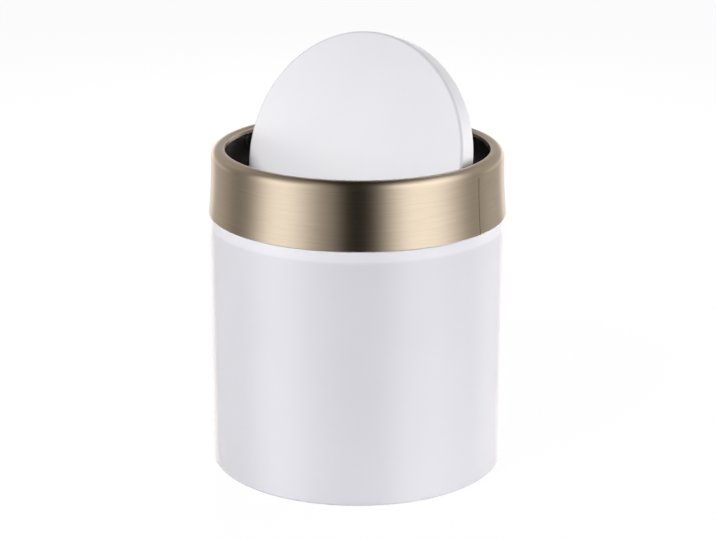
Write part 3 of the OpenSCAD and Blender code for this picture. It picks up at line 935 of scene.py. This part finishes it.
def moulded(name, base, roughness, grain, grain_depth, fade=None, painted_edge_shade_factor=1.0, **sockets):
    """Moulded plastic with a fine grain, flow marks and a little handling.

    fade has a low and a high level, and the factors of the colour there: painted light and shade, the
    colour lighter at one level and darker at the other. The edge factor is that of the colour where the
    mesh's attribute called edge is 1, a painted shade along an edge."""
    look = Look(name, Roughness=roughness, **sockets)
    flow = look.noise(scale=30, detail=3)
    tone = look.clouded(base, flow)
    # Painted light and shade: the colour changes with height between two factors
    if fade:
        low, high, low_factor, high_factor = fade
        up = look.spread(look.height(), 0, 1, start=low, end=high)
        tone = look.mix(up, look.clouded(base, flow, low_factor), look.clouded(base, flow, high_factor))
    # Painted shade: the colour is darker along the edge that the attribute marks
    if painted_edge_shade_factor != 1.0:
        edge = look.node("ShaderNodeAttribute", attribute_name="edge")["Fac"]
        tone = look.mix(edge, tone, shade(base, painted_edge_shade_factor))
    look.set("Base Color", tone)
    smudge = look.noise(scale=45, detail=5, rough=0.6)
    look.rough_between(smudge, roughness * 0.85, roughness * 1.15)
    look.bump(look.noise(scale=grain), grain_depth, strength=0.6)
    return look.material


def drawn_steel(base):
    """Bright rod, drawn along its length."""
    look = Look("Drawn steel", Metallic=1.0, Roughness=0.2)
    lines = look.noise(detail=3, rough=0.6, vector=look.stretched(60, 5000, 5000))
    look.set("Base Color", look.mix(look.spread(lines, 0, 1), shade(base, 0.88), shade(base, 1.05)))
    look.set("Roughness", look.spread(lines, 0.16, 0.26))
    look.bump(lines, depth=0.003 * MM, strength=0.4)
    return look.material


def zinc_plate(name, base, stretch, roughness):
    """Zinc plating over rolled or turned steel, with faint clouds and bluish passivation."""
    look = Look(name, Metallic=1.0, Roughness=roughness)
    cloud = look.noise(scale=90, detail=4, rough=0.6)
    lines = look.noise(detail=3, rough=0.6, vector=look.stretched(*stretch))
    warm = (base[0], base[1] * 0.98, base[2] * 0.9)
    tone = look.mix(look.spread(cloud, 0, 1), warm, shade(base, 1.1))
    tone = look.mix(look.spread(lines, 0, 0.4), tone, shade(base, 0.75))
    look.set("Base Color", tone)
    look.set("Roughness", look.spread(cloud, roughness * 0.8, roughness * 1.3))
    look.bump(lines, depth=0.006 * MM, strength=0.5)
    return look.material


def foam_rubber(base):
    """Closed-cell foam rubber with open pores at its cut faces."""
    look = Look("Foam rubber", Roughness=0.85, Specular_IOR_Level=0.3)
    cells = look.node("ShaderNodeTexVoronoi", {"Vector": look.place, "Scale": 1600.0})[0]
    pores = look.spread(cells, 0, 1, start=0.15, end=0.55)
    look.set("Base Color", look.mix(pores, shade(base, 0.5), shade(base, 1.4)))
    look.set("Roughness", look.spread(look.noise(scale=300), 0.75, 0.95))
    look.bump(pores, depth=0.06 * MM, strength=0.7)
    return look.material


# Operators


class BIN_OT_can_wall(Operator):
    """Rolled sheet wall with its foot, neck, hem and welded seam"""

    bl_idname = "bin.can_wall"
    bl_label = "Can wall"

    def execute(self, context):
        s = settings()
        can = s.can
        back = math.pi / 2
        flank = 0.05 * MM
        lap_flank = 0.1 * MM
        # Height of the band of painted highlight under the collar
        painted_highlight_band = 5.6 * MM
        # Half widths of the groove and of the doubled strip, with and without their flanks
        widths = (can.seam_width / 2, can.lap_width / 2)
        groove, lap = (width / can.radius for width in widths)
        flanks = (groove + flank / can.radius, lap + lap_flank / can.radius)
        edges = [back + side * a for side in (-1, 1) for a in (groove, lap, *flanks)]
        low_groove = can.foot_lift + can.foot_radius
        high = s.collar_z - can.neck_lead
        low_lap = s.brim_z + s.bottom.rise
        path = can_path(s)
        outline = sheet(path, can.sheet)
        # Extra levels on both faces of the wall, so that groove and strip end sharply
        levels = [low_groove + flank, low_lap - flank, low_lap]
        outer = [(can.radius, z) for z in levels]
        inner = [(can.radius - can.sheet, z) for z in reversed(levels)]
        # The wall's outer face begins after the foot's bend, and its inner face after the neck
        outer_start = next(i for i, point in enumerate(path) if point[1] >= low_groove) + 1
        inner_start = len(outline) - outer_start
        outline[inner_start:inner_start] = inner
        outline[outer_start:outer_start] = outer

        def place(a, r, z):
            off = abs(a - back) - TINY
            if off <= groove and r > can.radius - flank and low_groove < z < high + flank:
                return r - can.seam_depth
            inside = abs(r - (can.radius - can.sheet)) < flank
            if off <= lap and inside and low_lap - flank / 2 < z < high + flank:
                return r - can.sheet
            return r

        mesh, _ = turned(outline, angles_with(edges), place)
        coat = powder_coat("White coat", s.finish.coat, painted_highlight_band, s.collar_z)
        finish_piece("can_wall", mesh, coat, "can", ["can_shell"])
        return {"FINISHED"}


class BIN_OT_can_pan(Operator):
    """Pressed pan that closes the can at the bottom"""

    bl_idname = "bin.can_pan"
    bl_label = "Bottom pan"

    def execute(self, context):
        s = settings()
        mesh, _ = turned(sheet(pan_path(s), s.bottom.sheet), even_angles(PAN_COLUMNS))
        coat = powder_coat("White coat of the pan", shade(s.finish.coat, 0.95))
        finish_piece("can_pan", mesh, coat, "can", ["can_bottom"])
        return {"FINISHED"}


class BIN_OT_foam_ring(Operator):
    """Anti-slip ring that the can stands on"""

    bl_idname = "bin.foam_ring"
    bl_label = "Anti-slip ring"

    def execute(self, context):
        s = settings()
        out_r = s.slope_in_r - s.bottom.ring_inset
        in_r = out_r - s.bottom.ring_width
        edge = s.bottom.ring_edge
        right, left = out_r - edge, in_r + edge
        low, high = edge, s.pan_z - edge
        outline = []
        for i, centre in enumerate([(right, low), (right, high), (left, high), (left, low)]):
            outline += arc(centre, edge, 90 * i - 90, 90 * i, steps=5)
        mesh, _ = turned(outline, even_angles(PAN_COLUMNS))
        foam = foam_rubber(s.finish.rubber)
        finish_piece("foam_ring", mesh, foam, "can", ["base_ring"])
        return {"FINISHED"}


class BIN_OT_collar(Operator):
    """Brushed collar with its shoulder, crown and lip, and the butt seam in its skirt"""

    bl_idname = "bin.collar"
    bl_label = "Brushed collar"

    def execute(self, context):
        s = settings()
        c = s.collar
        path = collar_path(s)
        seam_top = s.shoulder_z - c.seam_drop
        # The seam ends on a level of its own, with this share of the flare below it
        flare_left = 0.3
        above = next(i for i, p in enumerate(path) if p[1] > seam_top)
        flare = path[above - 1][0] - path[above][0]
        path.insert(above, (path[above][0] + flare * flare_left, seam_top))
        outline = sheet(path, c.sheet)
        half = c.seam_width / 2 / s.waist_r
        edges = [(c.seam_at + side * half) % (2 * math.pi) for side in (-1, 1)]
        angles = angles_with(edges)
        mesh, columns = turned(outline, angles)
        first = angles.index(edges[0])
        sides = [columns[first], columns[(first + 1) % len(columns)]]
        last = len(outline) - 1
        for i in range(above):
            for j, k in ((i, i + 1), (last - i, last - i - 1)):
                corners = {sides[0][j], sides[1][j], sides[1][k], sides[0][k]}
                face = next(f for f in sides[0][j].link_faces if set(f.verts) == corners)
                mesh.faces.remove(face)
        lower = {sides[0][0], sides[1][0], sides[1][last], sides[0][last]}
        mesh.faces.remove(next(f for f in sides[0][0].link_faces if set(f.verts) == lower))
        for side in sides:
            for i in range(above):
                mesh.faces.new((side[i], side[i + 1], side[last - i - 1], side[last - i]))
        end = last - above
        mesh.faces.new((sides[0][above], sides[1][above], sides[1][end], sides[0][end]))
        brass = brushed_brass(s.finish.brass)
        finish_piece("brass_collar", mesh, brass, "collar", ["collar_ring"])
        return {"FINISHED"}


class BIN_OT_inner_ring(Operator):
    """Black moulded ring inside the collar, with its plug, flange, ribs and bosses"""

    bl_idname = "bin.inner_ring"
    bl_label = "Ring inside the collar"

    def execute(self, context):
        s = settings()
        ring = s.ring
        plug_z = s.can_top - ring.plug
        edge = ring.liner_edge
        outline = [
            (s.bore_r, plug_z),
            (s.plug_r - ring.plug_lead_width, plug_z),
            (s.plug_r, plug_z + ring.plug_lead_height),
            (s.plug_r, s.flange_z),
            (s.ring_r, s.flange_z),
            (s.ring_r, s.flange_z + ring.flange),
            (s.liner_r, s.flange_z + ring.flange),
        ]
        outline += arc((s.liner_r - edge, s.liner_top - edge), edge, 0, 90, steps=6)
        outline += arc((s.bore_r + edge, s.liner_top - edge), edge, 90, 180, steps=6)
        black = moulded(
            "Black plastic", s.finish.black, roughness=0.22, grain=500, grain_depth=0.004 * MM, IOR=1.5
        )
        rib_overlap = 0.5 * MM
        mesh = ribbed(
            outline,
            black,
            ribs=ring.ribs,
            rib_root=s.liner_r - rib_overlap,
            rib_tip=s.ring_r - ring.fit,
            rib_thickness=ring.rib_thickness,
            rib_bottom=s.flange_z + ring.flange / 2,
            rib_top=s.shoulder_z - ring.liner_head,
        )
        # Bosses at both ends of the rod: the space under the shoulder, cut to a width
        shoulder = (s.waist_r - s.collar.shoulder, s.shoulder_z)
        sweep = 70
        slices = 12
        foot = s.flange_z + ring.flange / 2
        inside = s.bore_r + ring.liner / 2
        section = [(inside, foot), (shoulder[0] + s.boss_r, foot)]
        section += arc(shoulder, s.boss_r, 0, sweep, steps=10)
        section.append((inside, section[-1][1]))
        for side in (-1, 1):
            rows = []
            for k in range(slices + 1):
                y = ring.boss_width * (k / slices - 0.5)
                points = [(side * math.sqrt(r * r - y * y), y, z) for r, z in section]
                rows.append([mesh.verts.new(point) for point in points])
            for low, high in zip(rows, rows[1:]):
                join_rings(mesh, low, high)
            mesh.faces.new(rows[0])
            mesh.faces.new(rows[-1])
        finish_piece("inner_ring", mesh, black, "collar", ["pivot_ring"])
        return {"FINISHED"}


class BIN_OT_bushes(Operator):
    """Bushes at both ends of the rod"""

    bl_idname = "bin.bushes"
    bl_label = "Bushes"

    def execute(self, context):
        s = settings()
        ring = s.ring
        acetal = moulded("Acetal", s.finish.acetal, roughness=0.4, grain=700, grain_depth=0.003 * MM)
        chamfer = 0.15 * MM
        near = s.bore_r - ring.bush_out
        outline = [
            (ring.bush_bore + chamfer, near),
            (ring.bush_radius - chamfer, near),
            (ring.bush_radius, near + chamfer),
            (ring.bush_radius, s.rod_half),
            (ring.bush_bore, s.rod_half),
            (ring.bush_bore, near + chamfer),
        ]
        for name, turn in (("right", 90), ("left", -90)):
            mesh, _ = turned(outline, even_angles(ROD_COLUMNS))
            matrix = Matrix.Translation((0, 0, s.axis_z)) @ Matrix.Rotation(math.radians(turn), 4, "Y")
            nodes = ["pivot_bush_" + name]
            finish_piece("bush_" + name, mesh, acetal, "collar", nodes, matrix)
        return {"FINISHED"}


class BIN_OT_rod(Operator):
    """Rod through the lid"""

    bl_idname = "bin.rod"
    bl_label = "Rod"

    def execute(self, context):
        s = settings()
        r = s.ring.rod_radius
        chamfer = 0.25 * MM
        outline = [
            (0.0, -s.rod_half),
            (r - chamfer, -s.rod_half),
            (r, -s.rod_half + chamfer),
            (r, s.rod_half - chamfer),
            (r - chamfer, s.rod_half),
            (0.0, s.rod_half),
        ]
        mesh, _ = turned(outline, even_angles(ROD_COLUMNS))
        matrix = s.lid_place @ Matrix.Rotation(math.radians(90), 4, "Y")
        steel = drawn_steel(s.finish.rod)
        finish_piece("lid_rod", mesh, steel, "lid", ["pivot_rod"], matrix)
        return {"FINISHED"}


class BIN_OT_lid_top(Operator):
    """Moulded cap of the lid, with the saddles and screw bosses inside"""

    bl_idname = "bin.lid_top"
    bl_label = "Lid cap"

    def execute(self, context):
        s = settings()
        lid = s.lid
        in_r = s.lid_r - lid.wall
        outline = [(0.0, s.cap_ceiling), (0.0, s.cap_top)]
        outline += arc((s.lid_r - lid.edge, s.cap_top - lid.edge), lid.edge, 90, 0, steps=14)
        low = (s.lid_r - lid.skirt_edge, s.cap_bottom + lid.skirt_edge)
        outline += arc(low, lid.skirt_edge, 0, -90, steps=8)
        outline.append((in_r, s.cap_bottom))
        inner = (in_r - lid.inner_edge, s.cap_ceiling - lid.inner_edge)
        outline += arc(inner, lid.inner_edge, 0, 90, steps=8)
        mesh, _ = turned(outline)
        # Painted shade: the colour of the rounded top edge is a little darker, in place of the dark
        # reflection there. The attribute rises to 1 in the middle of it
        edge = mesh.verts.layers.float.new("edge")
        for vert in mesh.verts:
            out = (vert.co.xy.length - s.lid_r) / lid.edge + 1
            up = (vert.co.z - s.cap_top) / lid.edge + 1
            vert[edge] = max(0.0, min(1.0, 2 * max(0.0, out) * max(0.0, up)))
        hidden = s.cap_ceiling + lid.wall / 2
        add_saddles(mesh, lid, 0, hidden)
        post = [
            (0.0, s.plate_top),
            (lid.post_radius, s.plate_top),
            (lid.post_radius, hidden),
            (0.0, hidden),
        ]
        for x, y in four_corners(s.lid_screw):
            add_turned(mesh, post, Matrix.Translation((x, y, 0)))
        # Painted light and shade: the open lid's colour is a little lighter below than at its top
        painted_light_start = s.axis_z - 8 * MM
        painted_light_end = s.axis_z + s.lid_r + 4 * MM
        white = moulded(
            "White lid",
            s.finish.lid,
            roughness=0.33,
            grain=600,
            grain_depth=0.004 * MM,
            fade=(painted_light_start, painted_light_end, 1.12, 0.88),
            painted_edge_shade_factor=0.8,
            IOR=1.5,
        )
        finish_piece("lid_top", mesh, white, "lid", ["lid_cap"], s.lid_place)
        return {"FINISHED"}


class BIN_OT_lid_plate(Operator):
    """Ribbed plate that closes the lid from below, with the counterweight's pocket"""

    bl_idname = "bin.lid_plate"
    bl_label = "Lid underside"

    def execute(self, context):
        s = settings()
        lid = s.lid
        rim_in = s.plate_r - lid.rim_width
        soft = 0.2 * MM
        outline = [(0.0, s.plate_top), (0.0, s.plate_bottom), (rim_in, s.plate_bottom)]
        outline += arc((rim_in + soft, s.rim_bottom + soft), soft, 180, 270, steps=3)
        outline += arc((s.plate_r - soft, s.rim_bottom + soft), soft, 270, 360, steps=3)
        outline.append((s.plate_r, s.plate_top))
        white = moulded(
            "White underside", s.finish.underside, roughness=0.42, grain=380, grain_depth=0.008 * MM
        )
        pocket_x = lid.weight_length + 2 * lid.weight_gap
        pocket_y = lid.weight_width + 2 * lid.weight_gap
        inside_plate = s.plate_bottom + lid.plate / 2
        mesh = ribbed(
            outline,
            white,
            ribs=lid.ribs,
            rib_root=pocket_y / 2,
            rib_tip=rim_in + lid.rim_width / 2,
            rib_thickness=lid.rib_thickness,
            rib_bottom=s.plate_bottom - lid.rib_height,
            rib_top=inside_plate,
            pocket_length=pocket_x + lid.frame_width,
            pocket_width=pocket_y + lid.frame_width,
        )
        around = 2 * lid.frame_width
        outer = rounded(pocket_x + around, pocket_y + around, 2 * soft, steps=3)
        opening = rounded(pocket_x, pocket_y, soft, steps=3)
        add_slab(mesh, outer, [(opening, opening)], s.rim_bottom, inside_plate)
        clearance = 0.02 * MM
        head = lid.head_radius + clearance
        post = [
            (head, s.rim_bottom),
            (lid.post_radius - soft, s.rim_bottom),
            (lid.post_radius, s.rim_bottom + soft),
            (lid.post_radius, inside_plate),
            (lid.screw_radius, inside_plate),
            (lid.screw_radius, s.rim_bottom + lid.head_height),
        ]
        column = [
            (0.0, s.plate_top - lid.plate / 2),
            (lid.post_radius, s.plate_top - lid.plate / 2),
            (lid.post_radius, s.cap_ceiling - soft),
            (0.0, s.cap_ceiling - soft),
        ]
        for shape, corner in ((post, s.lid_screw), (column, s.weight_screw)):
            for x, y in four_corners(corner):
                add_turned(mesh, shape, Matrix.Translation((x, y, 0)))
        add_saddles(mesh, lid, s.plate_top - lid.plate / 2, -clearance)
        finish_piece("lid_plate", mesh, white, "lid", ["lid_underside"], s.lid_place)
        return {"FINISHED"}


class BIN_OT_counterweight(Operator):
    """Steel plate under the rod that brings the lid back level"""

    bl_idname = "bin.counterweight"
    bl_label = "Counterweight"

    def execute(self, context):
        s = settings()
        lid = s.lid
        mesh = bmesh.new()
        clearance = 0.03 * MM
        radii = (lid.head_radius + clearance, lid.screw_radius + clearance)
        holes = [[circle(x, y, r) for r in radii] for x, y in four_corners(s.weight_screw)]
        outer = rounded(lid.weight_length, lid.weight_width, lid.weight_corner)
        add_slab(mesh, outer, holes, s.weight_bottom, s.plate_bottom)
        steel = zinc_plate(
            "Zinc-plated sheet", s.finish.weight, stretch=(60, 2400, 2400), roughness=0.34
        )
        nodes = ["counterweight"]
        finish_piece("balance_plate", mesh, steel, "lid", nodes, s.lid_place)
        return {"FINISHED"}


class BIN_OT_screws(Operator):
    """Countersunk screws of the counterweight and of the lid's underside"""

    bl_idname = "bin.screws"
    bl_label = "Screws"

    def execute(self, context):
        s = settings()
        steel = zinc_plate(
            "Zinc-plated screws", s.finish.screw, stretch=(900, 900, 900), roughness=0.26
        )
        tree = corner_tree()
        # Name, half sides of the rectangle, level, CAD node, turn from screw to screw
        groups = (
            ("balance_screws", s.weight_screw, s.weight_bottom, "weight_screws", 1.1),
            ("plate_screws", s.lid_screw, s.rim_bottom, "lid_screws", 0.7),
        )
        for name, half, level, node, turn in groups:
            values = {
                "Half Length": half[0],
                "Half Width": half[1],
                "Level": level,
                "Turn": turn,
                "Material": steel,
            }
            data = run_tree(tree, screw_mesh(s.lid), values)
            data.transform(s.lid_place)
            finish_data(name, data, steel, "lid", [node])
        return {"FINISHED"}


class BIN_OT_stage(Operator):
    """White floor, studio of soft boxes, lamps for the matt surfaces, and the camera"""

    bl_idname = "bin.stage"
    bl_label = "Stage"

    def execute(self, context):
        stage = context.scene.bin_stage
        context.scene.view_settings.view_transform = "Standard"
        self.floor(context.scene, stage)
        self.light(context.scene, stage)
        self.lamps(context.scene, stage)
        self.camera(context.scene, stage)
        return {"FINISHED"}

    def floor(self, scene, stage):
        """Round floor that looks white, and that sends less light up further out."""
        look = Look("White floor", Roughness=0.9, Specular_IOR_Level=0.0)
        camera_ray = look.node("ShaderNodeLightPath")["Is Camera Ray"]
        away = look.size_of(look.place)
        reach_end = 1.5 * stage.floor_reach
        further = look.spread(away, 0, 1, start=stage.floor_reach, end=reach_end, smooth=True)
        bounce = look.mix(further, stage.floor, stage.floor_far)
        look.set("Base Color", look.mix(camera_ray, bounce, (1, 1, 1)))
        glow = look.node("ShaderNodeEmission", {"Color": (1, 1, 1, 1), "Strength": 1.0})[0]
        share = look.maths("MULTIPLY", camera_ray, stage.floor_glow)
        links = {0: share, 1: look.shader.outputs[0], 2: glow}
        surface = look.node("ShaderNodeMixShader", links)[0]
        look.tree.links.new(surface, look.tree.nodes["Material Output"].inputs["Surface"])

        floor_radius = 6.0
        mesh = bmesh.new()
        bmesh.ops.create_circle(mesh, cap_ends=True, radius=floor_radius, segments=64)
        data = bpy.data.meshes.new("floor")
        mesh.to_mesh(data)
        mesh.free()
        data.materials.append(look.material)
        floor = bpy.data.objects.new("floor", data)
        # Metal shows the studio below the horizon too, so its bands run straight down
        floor.visible_glossy = False
        scene.collection.objects.link(floor)

    def light(self, scene, stage):
        """Studio of soft boxes round the can. Camera rays see plain white."""
        world = bpy.data.worlds.new("Studio")
        world.use_nodes = True
        scene.world = world
        studio = Nodes(world.node_tree)
        studio.tree.nodes.clear()
        node = studio.node
        maths = studio.maths
        way = node("ShaderNodeTexCoord")["Generated"]
        ahead = studio.dot(way, (math.sin(stage.turn), -math.cos(stage.turn), 0))
        aside = studio.dot(way, (math.cos(stage.turn), math.sin(stage.turn), 0))
        height = node("ShaderNodeSeparateXYZ", {0: way})["Z"]
        # Direction round the can: 0 towards the camera, positive to its right
        round_can = maths("ARCTAN2", aside, ahead)
        # Height, as the sine of the angle above level, where an edge begins to lean out
        lean_start = 0.2

        def ramp(value, start, end):
            """Smooth step from 0 at start to 1 at end, which may be the lower one."""
            links = {"Value": value, "From Min": min(start, end), "From Max": max(start, end)}
            step = node("ShaderNodeMapRange", links, interpolation_type="SMOOTHSTEP")[0]
            return step if end > start else maths("SUBTRACT", 1.0, step)

        def panel(level, centre, half, soft_left, soft_right, lean_left=0, lean_right=0):
            """Upright panel between two edges that fade, in degrees. Its edges may lean out."""
            off = maths("SUBTRACT", round_can, math.radians(centre))
            off = maths("WRAP", off, math.pi, -math.pi)
            above = maths("MAXIMUM", maths("SUBTRACT", height, lean_start), 0.0)
            left = maths("ADD", off, maths("MULTIPLY", above, math.radians(lean_left)))
            right = maths("SUBTRACT", off, maths("MULTIPLY", above, math.radians(lean_right)))
            low = ramp(left, math.radians(-half - soft_left), math.radians(-half))
            high = ramp(right, math.radians(half + soft_right), math.radians(half))
            return maths("MULTIPLY", maths("MULTIPLY", low, high), level)

        def light_of(tint, level):
            return node("ShaderNodeBackground", {0: (*tint, 1), 1: level})[0]

        left = panel(stage.box_left, centre=-62, half=4, soft_left=28, soft_right=36, lean_left=21)
        left_box = maths("MULTIPLY", left, ramp(height, 0.92, 0.45))
        right = panel(stage.box_right, centre=51, half=7, soft_left=30, soft_right=42, lean_right=50)
        right_box = maths("MULTIPLY", right, ramp(height, 0.97, 0.70))
        low = panel(stage.backdrop, centre=180, half=26, soft_left=8, soft_right=8)
        backdrop = maths("MULTIPLY", low, ramp(height, 0.15, -0.05))
        level = panel(stage.horizon, centre=180, half=58, soft_left=10, soft_right=10)
        strip_part = maths("MULTIPLY", ramp(height, -0.17, -0.07), ramp(height, 0.15, 0.0))
        strip = maths("MULTIPLY", level, strip_part)
        rear = panel(stage.rear_wall, centre=180, half=62, soft_left=12, soft_right=12)
        rear_wall = maths("MULTIPLY", rear, ramp(height, 0.75, 0.5))
        # Dark gap between the soft boxes, from the camera's place up over the can
        gap_depth = 0.98
        gap_sides = maths("MULTIPLY", ramp(aside, -0.40, -0.10), ramp(aside, 0.44, 0.10))
        gap = maths("MULTIPLY", gap_sides, ramp(ahead, -0.93, -0.75))
        open_part = maths("SUBTRACT", 1.0, maths("MULTIPLY", gap, gap_depth))
        # The boxes are brighter above the can than level with it
        lift = maths("ADD", maths("MULTIPLY", ramp(height, 0.05, 0.35), stage.box_lift), 1.0)
        box_part = maths("MULTIPLY", open_part, lift)
        box_level = maths("MULTIPLY", maths("ADD", left_box, right_box), box_part)
        # A darker stretch of wall far to the left
        dark_wall = panel(0.35, centre=-112, half=9, soft_left=14, soft_right=14)
        wall_level = maths("MULTIPLY", maths("SUBTRACT", open_part, dark_wall), stage.surround)
        for extra in (rear_wall, backdrop, strip):
            wall_level = maths("ADD", wall_level, extra)
        boxes_light = light_of(stage.box_tint, box_level)
        walls_light = light_of(stage.surround_tint, wall_level)
        whole = node("ShaderNodeAddShader", {0: boxes_light, 1: walls_light})[0]
        white = light_of((1, 1, 1), 1.0)
        dark = light_of((0, 0, 0), 0.0)
        ray = node("ShaderNodeLightPath")
        held_back = maths("MULTIPLY", ray["Is Diffuse Ray"], 1.0 - stage.matt_share)
        shared = node("ShaderNodeMixShader", {0: held_back, 1: whole, 2: dark})[0]
        seen = node("ShaderNodeMixShader", {0: ray["Is Camera Ray"], 1: shared, 2: white})[0]
        node("ShaderNodeOutputWorld", {"Surface": seen})

    def lamps(self, scene, stage):
        """Soft lamps for the matt surfaces. Metal and gloss show the studio in their place."""
        middle = Vector((0, 0, 100 * MM))
        # Direction round the can, distance, height, width, power, whether it casts shadows
        rows = {
            "High lamp, left": (-40, 0.70, 0.65, 0.30, stage.high_left, True),
            "Low lamp, right": (50, 0.40, 0.05, 0.25, stage.low_right, False),
            "Side lamp, left": (-105, 0.50, 0.10, 0.30, stage.side_left, True),
            "Side lamp, right": (105, 0.50, 0.10, 0.30, stage.side_right, True),
            "Back lamp": (180, 0.70, 0.45, 0.40, stage.back, True),
        }
        for name, (direction, distance, height, width, power, shadow) in rows.items():
            light = bpy.data.lights.new(name, "AREA")
            light.size = width
            light.energy = power
            light.use_shadow = shadow
            a = stage.turn + math.radians(direction)
            place = Vector((math.sin(a) * distance, -math.cos(a) * distance, height))
            lamp = bpy.data.objects.new(name, light)
            lamp.location = place
            lamp.rotation_euler = (middle - place).to_track_quat("-Z", "Y").to_euler()
            lamp.visible_camera = lamp.visible_glossy = lamp.visible_transmission = False
            scene.collection.objects.link(lamp)

    def camera(self, scene, stage):
        """Camera at the photograph's place."""
        lens = bpy.data.cameras.new("Camera")
        lens.lens = stage.lens
        lens.sensor_width = 36
        lens.shift_x = stage.shift
        lens.clip_start = 10 * MM
        camera = bpy.data.objects.new("Camera", lens)
        level = math.cos(stage.rise)
        away = Vector((math.sin(stage.turn) * level, -math.cos(stage.turn) * level, math.sin(stage.rise)))
        camera.location = Vector((0, 0, stage.aim)) + away * stage.distance
        upright = (-away).to_track_quat("-Z", "Y").to_matrix()
        camera.rotation_euler = (upright @ Matrix.Rotation(stage.roll, 3, "Z")).to_euler()
        scene.collection.objects.link(camera)
        scene.camera = camera


PIECES = (
    BIN_OT_can_wall,
    BIN_OT_can_pan,
    BIN_OT_foam_ring,
    BIN_OT_collar,
    BIN_OT_inner_ring,
    BIN_OT_bushes,
    BIN_OT_rod,
    BIN_OT_lid_top,
    BIN_OT_lid_plate,
    BIN_OT_counterweight,
    BIN_OT_screws,
    BIN_OT_stage,
)


class BIN_PT_pieces(Panel):
    """Pieces of the trash can and their sizes and colours"""

    bl_idname = "BIN_PT_pieces"
    bl_label = "Countertop Trash Can"
    bl_space_type = "VIEW_3D"
    bl_region_type = "UI"
    bl_category = "Trash Can"

    def draw(self, context):
        for operator in PIECES:
            self.layout.operator(operator.bl_idname)
        for attribute, group in GROUPS.items():
            box = self.layout.box()
            box.label(text=group.__doc__.rstrip("."))
            for name in group.__annotations__:
                box.prop(getattr(context.scene, attribute), name)


def register():
    for group in GROUPS.values():
        bpy.utils.register_class(group)
    for attribute, group in GROUPS.items():
        setattr(bpy.types.Scene, attribute, PointerProperty(type=group))
    for operator in PIECES:
        bpy.utils.register_class(operator)
    bpy.utils.register_class(BIN_PT_pieces)


def unregister():
    bpy.utils.unregister_class(BIN_PT_pieces)
    for operator in reversed(PIECES):
        bpy.utils.unregister_class(operator)
    for attribute in GROUPS:
        delattr(bpy.types.Scene, attribute)
    for group in GROUPS.values():
        bpy.utils.unregister_class(group)


def main():
    register()
    bpy.ops.bin.can_wall()
    bpy.ops.bin.can_pan()
    bpy.ops.bin.foam_ring()
    bpy.ops.bin.collar()
    bpy.ops.bin.inner_ring()
    bpy.ops.bin.bushes()
    bpy.ops.bin.rod()
    bpy.ops.bin.lid_top()
    bpy.ops.bin.lid_plate()
    bpy.ops.bin.counterweight()
    bpy.ops.bin.screws()
    bpy.ops.bin.stage()


if __name__ == "__main__":
    main()
